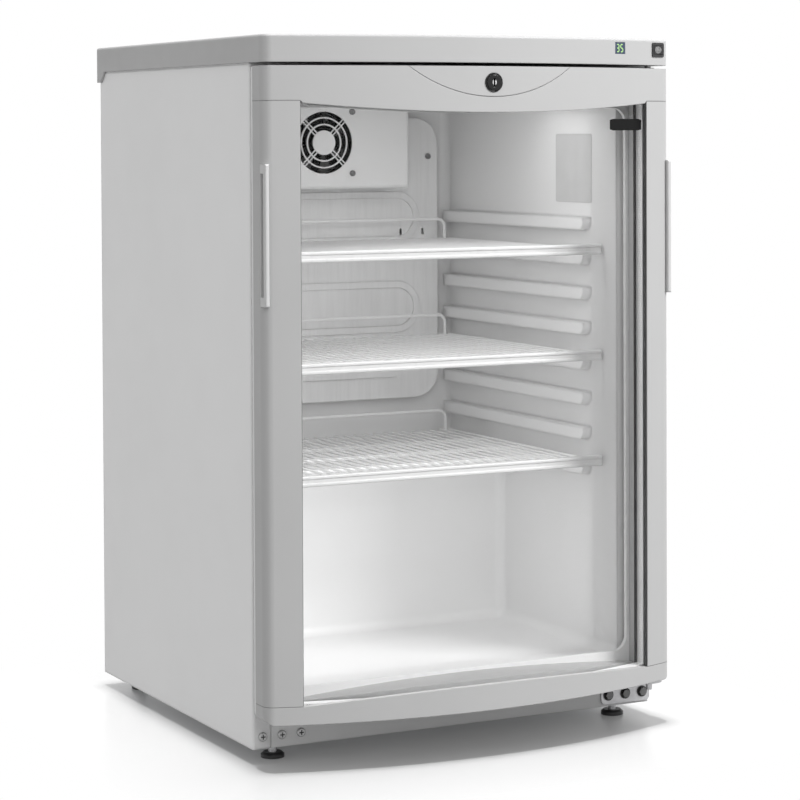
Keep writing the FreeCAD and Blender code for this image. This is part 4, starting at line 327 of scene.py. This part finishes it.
# Finishes by the slot of the CAD nodes
looks = {
    "white_steel": finish("white_steel", grey(0.88), 0.36, edge=0.002, **SHEET),
    "galvanised": galvanised("galvanised"),
    "foam": finish("foam", (0.8, 0.72, 0.5), 0.8, vary=0.08, blotch=60, grain=300, relief=0.4,
                   depth=0.001, edge=0),
    "white_plastic": finish("white_plastic", grey(0.82), 0.4, vary=0.012, blotch=7, grain=1100,
                            relief=0.015, edge=0.0015),
    "silver_plastic": finish("silver_plastic", SILVER, 0.36, **MOULDED),
    "dark_plastic": finish("dark_plastic", (0.02, 0.02, 0.021), 0.35, vary=0.15, grain=1500,
                           edge=0.0006),
    "grey_plastic": finish("grey_plastic", (0.03, 0.03, 0.031), 0.38, vary=0.05, grain=1500,
                           specular=0.25, mark=rocker_mark, marked=grey(0.3)),
    "display_green": finish("display_glass", (0.04, 0.06, 0.1), 0.12, vary=0.2, grain=600,
                            relief=0.01, edge=0.0004),
    "lamp_cover": glowing("lamp_cover", (0.97, 0.97, 0.95), 3.0),
    "clear_glass": thin_glass("clear_glass", 0.004, grey(0.997)),
    "bare_aluminium": finish("painted_plate", grey(0.86), 0.45, vary=0.03, blotch=14, grain=400,
                             relief=0.03, edge=0.0016, mark=streaks, marked=grey(0.74)),
    "white_wire": finish("white_wire", grey(0.93), 0.4, vary=0.015, grain=300, relief=0.01,
                         edge=0),
    "bright_steel": finish("bright_steel", (0.52, 0.52, 0.53), 0.4, metal=0.75, vary=0.08,
                           blotch=200, grain=900),
    "lock_chrome": lock_barrel("lock_barrel"),
    "grey_rubber": finish("grey_rubber", grey(0.5), 0.7, vary=0.05, grain=700, relief=0.15),
    "black_rubber": finish("black_rubber", grey(0.03), 0.75, vary=0.2, grain=700, relief=0.2),
    "black_paint": finish("black_paint", (0.025, 0.025, 0.026), 0.4, vary=0.2, grain=700,
                          relief=0.15, edge=0.0006),
    "copper_pipe": finish("copper_pipe", (0.68, 0.36, 0.22), 0.32, metal=0.95, vary=0.14,
                          blotch=40, grain=500),
    "bush_nylon": finish("bush_nylon", (0.78, 0.78, 0.74), 0.5, vary=0.03, grain=800),
}

# Finishes of single nodes, which go before those of their slots
# The stiles carry painted shade along their joints with the caps
stile_finish = finish("stile_silver", SILVER, 0.36, mark=seam_shade_lines, marked=shade(SILVER, 0.45),
                      **MOULDED)
panel_finish = finish("panel_steel", grey(0.88), 0.36, edge=0.004, **SHEET)
handle_finish = finish("handle_silver", grey(0.6), 0.4, vary=0.015, grain=1600, relief=0.05,
                       specular=0.3, edge=0.002)
screw_finish = finish("dull_zinc", grey(0.2), 0.4, metal=0.5, vary=0.15, blotch=300)
fan_finish = finish("fan_black", grey(0.008), 0.6, vary=0.2, grain=900, relief=0.05,
                    specular=0.05)
special = {
    "inner_liner": finish("liner_white", grey(0.82), 0.4, vary=0.01, blotch=5, grain=700,
                          relief=0.01, edge=0.006),
    "shelf_trims": finish("trim_white", grey(0.8), 0.3, vary=0.01, grain=900, relief=0.02,
                          edge=0.0012),
    "glass_spacer": perforated("spacer_bar"),
    # Painted light and shade: lighter bolt heads over darker flanges
    "hinge_bolts": finish("black_oxide", grey(0.03), 0.3, metal=0.5, vary=0.2, blotch=300,
                          edge=0.001, mark=lit_bolt_heads, marked=grey(0.14)),
    "blanking_screws": finish("zinc_screw", grey(0.42), 0.36, metal=0.6, vary=0.1, blotch=300,
                              edge=0.001),
    "fan_screws": screw_finish,
    "evaporator_screws": screw_finish,
    "fan_rotor": fan_finish,
    "fan_frame": fan_finish,
}
for side in ("left", "right"):
    special[f"door_stile_{side}"] = stile_finish
    special[f"side_panel_{side}"] = panel_finish
    special[f"handle_{side}"] = handle_finish
for corner in FEET:
    special[f"foot_{corner}"] = screw_foot(f"screw_foot_{corner}")
for name, thing in nodes.items():
    slot = thing.material_slots[0].material.name.split(".")[0]
    for holder in thing.material_slots:
        holder.material = special.get(name, looks[slot])


# Pieces


def piece(name, corners, faces, body, slot, material):
    """A new object from corners in mm, which rides on a body. Its slot argument is not used."""
    mesh = bpy.data.meshes.new(name)
    mesh.from_pydata([tuple(part * MM for part in corner) for corner in corners], [], faces)
    shape = bmesh.new()
    shape.from_mesh(mesh)
    bmesh.ops.recalc_face_normals(shape, faces=shape.faces)
    shape.to_mesh(mesh)
    shape.free()
    thing = bpy.data.objects.new(name, mesh)
    bpy.context.scene.collection.objects.link(thing)
    mesh.materials.append(material)
    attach(thing, body)


def loft(sections):
    """Corners and faces of a closed solid through sections of equal length."""
    count = len(sections[0])
    corners = [corner for section in sections for corner in section]
    faces = [tuple(range(count)), tuple(range(len(corners) - 1, len(corners) - count - 1, -1))]
    for start in range(0, len(corners) - count, count):
        for number in range(count):
            first, second = start + number, start + (number + 1) % count
            faces.append((first, second, second + count, first + count))
    return corners, faces


def joined(solids):
    """Corners and faces of several solids as one mesh."""
    corners, faces = [], []
    for solid_corners, solid_faces in solids:
        faces += [tuple(number + len(corners) for number in face) for face in solid_faces]
        corners += solid_corners
    return corners, faces


def bow_radius(node):
    """Radius in mm of the front face of a bowed pane."""
    return BOW_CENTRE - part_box(node)[0].y / MM


def bow_point(radius, x, z):
    """The point of a bowed face at x and z."""
    return x, BOW_CENTRE - math.sqrt(radius * radius - x * x), z


outer_face, inner_face = bow_radius("glass_outer"), bow_radius("glass_inner")

BADGE_X, BADGE_Z = (175, 228.5), (738, 752)
BADGE_SEAT, BADGE_THICK, BADGE_CORNER, BADGE_STEPS = 0.05, 0.5, 1.2, 10


def glass_badge(radius):
    """A thin bare plate on a bowed pane, with its corners taken off."""
    (x_low, x_high), (z_low, z_high) = BADGE_X, BADGE_Z
    sections = []
    for step in range(BADGE_STEPS + 1):
        x = x_low + (x_high - x_low) * step / BADGE_STEPS
        inset = max(0.0, BADGE_CORNER - min(x - x_low, x_high - x))
        low, high = z_low + inset, z_high - inset
        spots = [(0, low), (BADGE_THICK, low), (BADGE_THICK, high), (0, high)]
        sections.append([bow_point(radius + out, x, z) for out, z in spots])
    return loft(sections)


badge_finish = finish("badge_black", grey(0.006), 0.45, vary=0.2, grain=600, specular=0.1,
                      edge=0.0004)
piece("glass_badge", *glass_badge(outer_face + BADGE_SEAT), "door", "dark_plastic", badge_finish)

# Sections of the glazing strips: across from the opening's edge, and out of the pane
LIP_SECTION = ((-1.4, 0.1), (-1.4, 4.6), (-0.9, 5.4), (-0.1, 5.6), (-0.1, 0.1))
SEALANT_SECTION = ((-4.2, 0.05), (-3.9, 0.45), (0.7, 0.45), (0.7, 0.05))
SEAL_ENDS = (DOOR_SEAMS[0] + 0.5, DOOR_SEAMS[1] - 0.5)


def glazing_strip(section, radius, sign):
    """An upright strip along one side of the door's opening."""
    return loft([
        [bow_point(radius + out, sign * (OPENING_HALF + across), z) for across, out in section]
        for z in SEAL_ENDS
    ])


seal_finish = finish("glazing_seal", grey(0.05), 0.6, vary=0.2, grain=900, relief=0.15,
                     edge=0.0005)
for side, sign in (("left", -1), ("right", 1)):
    lip = glazing_strip(LIP_SECTION, outer_face, sign)
    piece(f"glazing_lip_{side}", *lip, "door", "black_rubber", seal_finish)
    sealant = glazing_strip(SEALANT_SECTION, inner_face, sign)
    piece(f"glazing_sealant_{side}", *sealant, "door", "black_rubber", seal_finish)

PLATE_Y, PLATE_Z, PLATE_CORNER = (-145, -54), (646, 734), 2.0
PLATE_STEPS = ((0.0, 0.0), (0.35, 0.0), (0.35, 1.6), (0.2, 2.0))


def wall_plate():
    """A bare plate on the right wall of the liner, with a raised rim and its corners taken off."""
    sections = []
    for lift, inset in PLATE_STEPS:
        y0, y1 = PLATE_Y[0] + inset, PLATE_Y[1] - inset
        z0, z1 = PLATE_Z[0] + inset, PLATE_Z[1] - inset
        cut = PLATE_CORNER
        sections.append([(LINER_WALL - lift, y, z) for y, z in (
            (y0 + cut, z0), (y1 - cut, z0), (y1, z0 + cut), (y1, z1 - cut),
            (y1 - cut, z1), (y0 + cut, z1), (y0, z1 - cut), (y0, z0 + cut))])
    return loft(sections)


plate_finish = finish("wall_plate", grey(0.6), 0.4, vary=0.04, blotch=40, grain=900, edge=0.0003)
piece("wall_plate", *wall_plate(), "cabinet", "grey_plastic", plate_finish)


def front_of(node):
    """Middle, right and outward directions of the front face of a thin node."""
    mesh = nodes[node].data
    fronts = (face for face in mesh.polygons if face.normal.y < -0.5)
    best = max(fronts, key=lambda face: face.area)
    out = best.normal.normalized()
    low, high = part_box(node)
    middle = (low + high) / 2
    middle += out * (best.center - middle).dot(out)
    return middle, Vector((-out.y, out.x, 0)).normalized(), out


DIGIT_WIDTH, DIGIT_HEIGHT, DIGIT_BAR, DIGIT_GAP, DIGIT_LIFT = 3.5, 8.7, 1.3, 0.12, 0.15
# Ends of the bars that the digits use, in widths and half heights
DIGIT_BARS = {
    "a": ((0, 1), (1, 1)),
    "b": ((1, 0), (1, 1)),
    "c": ((1, -1), (1, 0)),
    "d": ((0, -1), (1, -1)),
    "f": ((0, 0), (0, 1)),
    "g": ((0, 0), (1, 0)),
}
# Lit bars and left edge of each digit
DIGITS = (("abcdg", -5.5), ("acdfg", 1.0))


def digit_bar(letter, left):
    """Outline of one bar of a digit: a strip with pointed ends, clear of its neighbours."""
    start, end = (
        Vector((left + x * DIGIT_WIDTH, z * DIGIT_HEIGHT / 2)) for x, z in DIGIT_BARS[letter]
    )
    along = (end - start).normalized()
    aside = Vector((-along.y, along.x)) * DIGIT_BAR / 2
    start, end = start + along * DIGIT_GAP, end - along * DIGIT_GAP
    shoulder = along * DIGIT_BAR / 2
    return (start, start + shoulder + aside, end - shoulder + aside,
            end, end - shoulder - aside, start + shoulder - aside)


middle, across, out = front_of("display_window")
bars = []
for lit, left in DIGITS:
    for letter in lit:
        flat = [middle / MM + across * x + Vector((0, 0, z)) for x, z in digit_bar(letter, left)]
        layers = [[tuple(spot + out * lift) for spot in flat] for lift in (0.0, DIGIT_LIFT)]
        bars.append(loft(layers))
digit_finish = glowing("digit_green", (0.38, 0.62, 0.24), 0.25)
piece("display_digits", *joined(bars), "cabinet", "display_green", digit_finish)

CROSS_REACH, CROSS_HALF, CROSS_LIFT = 3.0, 0.75, 0.08


def screw_cross(x, z, front):
    """A thin upright cross on the front of a screw head, black as painted shade of its cross
    recess.
    """
    half, far = CROSS_HALF, CROSS_REACH
    arm = ((-half, far), (half, far), (half, half))
    outline = []
    for quarter in range(4):
        for right, up in arm:
            for _ in range(quarter):
                right, up = up, -right
            outline.append((x + right, z + up))
    return loft([[(right, y, up) for right, up in outline] for y in (front, front - CROSS_LIFT)])


head_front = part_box("blanking_screws")[0].y / MM
crosses = [screw_cross(BLANKING_X + BOLT_PITCH * number, BOLT_Z, head_front) for number in range(3)]
# The black crosses are painted shade standing in for the cross recesses of the blanking screws
recess_shade_finish = finish("painted_recess_shade", grey(0.02), 0.5, vary=0.2, grain=900, edge=0)
piece("screw_crosses", *joined(crosses), "cabinet", "black_paint", recess_shade_finish)

THREAD_RISE, THREAD_ROOT = 0.35, 0.3
THREAD_PITCH, THREAD_HALF, THREAD_STEPS = 1.5, 0.65, 16
THREAD_LOW, THREAD_HIGH = 7.4, 17.6


def thread_ridge(x, y):
    """A right-handed thread round an upright stud: a three-cornered ridge along a helix."""
    root, crest = STUD_RADIUS - THREAD_ROOT, STUD_RADIUS + THREAD_RISE
    section = ((root, -THREAD_HALF), (crest, 0), (root, THREAD_HALF))
    turns = (THREAD_HIGH - THREAD_LOW) / THREAD_PITCH
    sections = []
    for step in range(round(turns * THREAD_STEPS) + 1):
        turn = step / THREAD_STEPS
        along, aside = math.cos(2 * math.pi * turn), math.sin(2 * math.pi * turn)
        z = THREAD_LOW + THREAD_PITCH * turn
        sections.append([(x + out * along, y + out * aside, z + up) for out, up in section])
    return loft(sections)


thread_finish = finish("thread_steel", STUD_STEEL, 0.4, metal=1.0, vary=0.08, blotch=200,
                       grain=900, edge=0)
for corner in FEET:
    low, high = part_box(f"foot_{corner}")
    spot = (low + high) / 2 / MM
    ridge = thread_ridge(spot.x, spot.y)
    piece(f"foot_thread_{corner}", *ridge, f"foot_{corner}", "bright_steel", thread_finish)


# Stage, light and camera

FLOOR_HALF, FLOOR_NEAR, FLOOR_FAR = 9.0, 0.29, 0.46
FLOOR_PALE, FLOOR_BOUNCE, FLOOR_GLOW = grey(0.92), grey(0.3), 0.05
AMBIENT = 0.41
OVERHEAD_POWER, OVERHEAD_SPREAD = 2.0, 3.0
# Spot, aim, width and height in metres, and power in watts
LAMPS = {
    "key": ((2.3, -3.0, 3.0), (0, -0.2, 0.45), 1.6, 1.6, 176),
    "front": ((-0.8, -3.6, 3.2), (0, -0.2, 0.45), 1.8, 1.8, 42),
    "side": ((-3.2, -0.6, 1.1), (0, 0, 0.5), 0.15, 1.7, 9),
    "cavity": ((0, -0.15, 0.43), (0, 0.2, 0.43), 0.42, 0.66, 0.5),
    "ceiling": ((0, -0.1, 0.77), (0, -0.06, 0), 0.40, 0.14, 0.28),
}
UNSEEN_LAMPS = ("cavity", "ceiling")
# The photo's camera, as fitted: where it stands, and its right, up and back directions
CAMERA_SPOT = (-1.4512, -2.9635, 0.7382)
CAMERA_AXES = (
    (0.88503, -0.46553, -0.00389),
    (0.01525, 0.02065, 0.99967),
    (-0.46530, -0.88480, 0.02537),
)


def seen_rays(tree):
    """1 for the rays that show the background: camera, mirror and glass rays."""
    ray = add(tree, "ShaderNodeLightPath")
    seen = either(tree, (ray, "Is Camera Ray"), (ray, "Is Glossy Ray"))
    return either(tree, seen, (ray, "Is Transmission Ray"))


def pale_floor(name):
    """A pale satin floor that runs into the white background away from the object."""
    material, tree, bsdf = tree_of(name)
    ray = add(tree, "ShaderNodeLightPath")
    feed(tree, tint(tree, (ray, "Is Diffuse Ray"), FLOOR_PALE, FLOOR_BOUNCE), bsdf, "Base Color")
    bsdf.inputs["Roughness"].default_value = 0.25
    bsdf.inputs["Emission Strength"].default_value = FLOOR_GLOW
    reach = either(tree, *(work(tree, "ABSOLUTE", axis_of(tree, letter)) for letter in "XY"))
    far = spread(tree, reach, 0.0, 1.0, FLOOR_NEAR, FLOOR_FAR)
    white = add(tree, "ShaderNodeEmission", {"Color": (1, 1, 1, 1), "Strength": 1.0})
    mix = add(tree, "ShaderNodeMixShader")
    feed(tree, both(tree, far, seen_rays(tree)), mix, 0)
    feed(tree, (bsdf, "BSDF"), mix, 1)
    feed(tree, (white, "Emission"), mix, 2)
    feed(tree, (mix, "Shader"), tree.nodes["Material Output"], "Surface")
    return material


floor_mesh = bpy.data.meshes.new("floor")
floor_corners = ((-1, -1), (1, -1), (1, 1), (-1, 1))
floor_mesh.from_pydata([(x * FLOOR_HALF, y * FLOOR_HALF, 0) for x, y in floor_corners],
                       [], [(0, 1, 2, 3)])
floor = bpy.data.objects.new("floor", floor_mesh)
bpy.context.scene.collection.objects.link(floor)
floor_mesh.materials.append(pale_floor("floor_pale"))

world = bpy.data.worlds.new("studio")
bpy.context.scene.world = world
world.use_nodes = True
tree = world.node_tree
tree.nodes.clear()
ambient = add(tree, "ShaderNodeBackground", {"Color": (1, 1, 1, 1), "Strength": AMBIENT})
white = add(tree, "ShaderNodeBackground", {"Color": (1, 1, 1, 1), "Strength": 1.0})
choose = add(tree, "ShaderNodeMixShader")
feed(tree, seen_rays(tree), choose, 0)
feed(tree, (ambient, "Background"), choose, 1)
feed(tree, (white, "Background"), choose, 2)
feed(tree, (choose, "Shader"), add(tree, "ShaderNodeOutputWorld"), "Surface")


def lamp(name, spot, aim, width, height, power):
    """A soft lamp that faces its aim."""
    light = bpy.data.lights.new(name, "AREA")
    light.shape = "RECTANGLE"
    light.size = width
    light.size_y = height
    light.energy = power
    thing = bpy.data.objects.new(name, light)
    thing.location = spot
    thing.rotation_euler = (Vector(aim) - Vector(spot)).to_track_quat("-Z", "Y").to_euler()
    bpy.context.scene.collection.objects.link(thing)
    return thing


# The lamps light the object and leave the floor out; the overhead sun lights both
object_only = bpy.data.collections.new("object_only")
object_only.objects.link(floor)
object_only.collection_objects[0].light_linking.link_state = "EXCLUDE"
for name, setting in LAMPS.items():
    thing = lamp(name, *setting)
    thing.light_linking.receiver_collection = object_only
    if name in UNSEEN_LAMPS:
        thing.visible_camera = False
        thing.visible_glossy = False

overhead = bpy.data.lights.new("overhead", "SUN")
overhead.energy = OVERHEAD_POWER
overhead.angle = math.radians(OVERHEAD_SPREAD)
bpy.context.scene.collection.objects.link(bpy.data.objects.new("overhead", overhead))

view = bpy.data.cameras.new("view")
view.sensor_fit = "HORIZONTAL"
view.sensor_width = 36
view.lens = 116.19
view.shift_x = -0.0708
view.shift_y = -0.2545
camera = bpy.data.objects.new("view", view)
turn = Matrix(CAMERA_AXES).transposed().to_quaternion().to_matrix().to_4x4()
camera.matrix_world = Matrix.Translation(CAMERA_SPOT) @ turn
bpy.context.scene.collection.objects.link(camera)
bpy.context.scene.camera = camera
bpy.context.scene.view_settings.view_transform = "Standard"
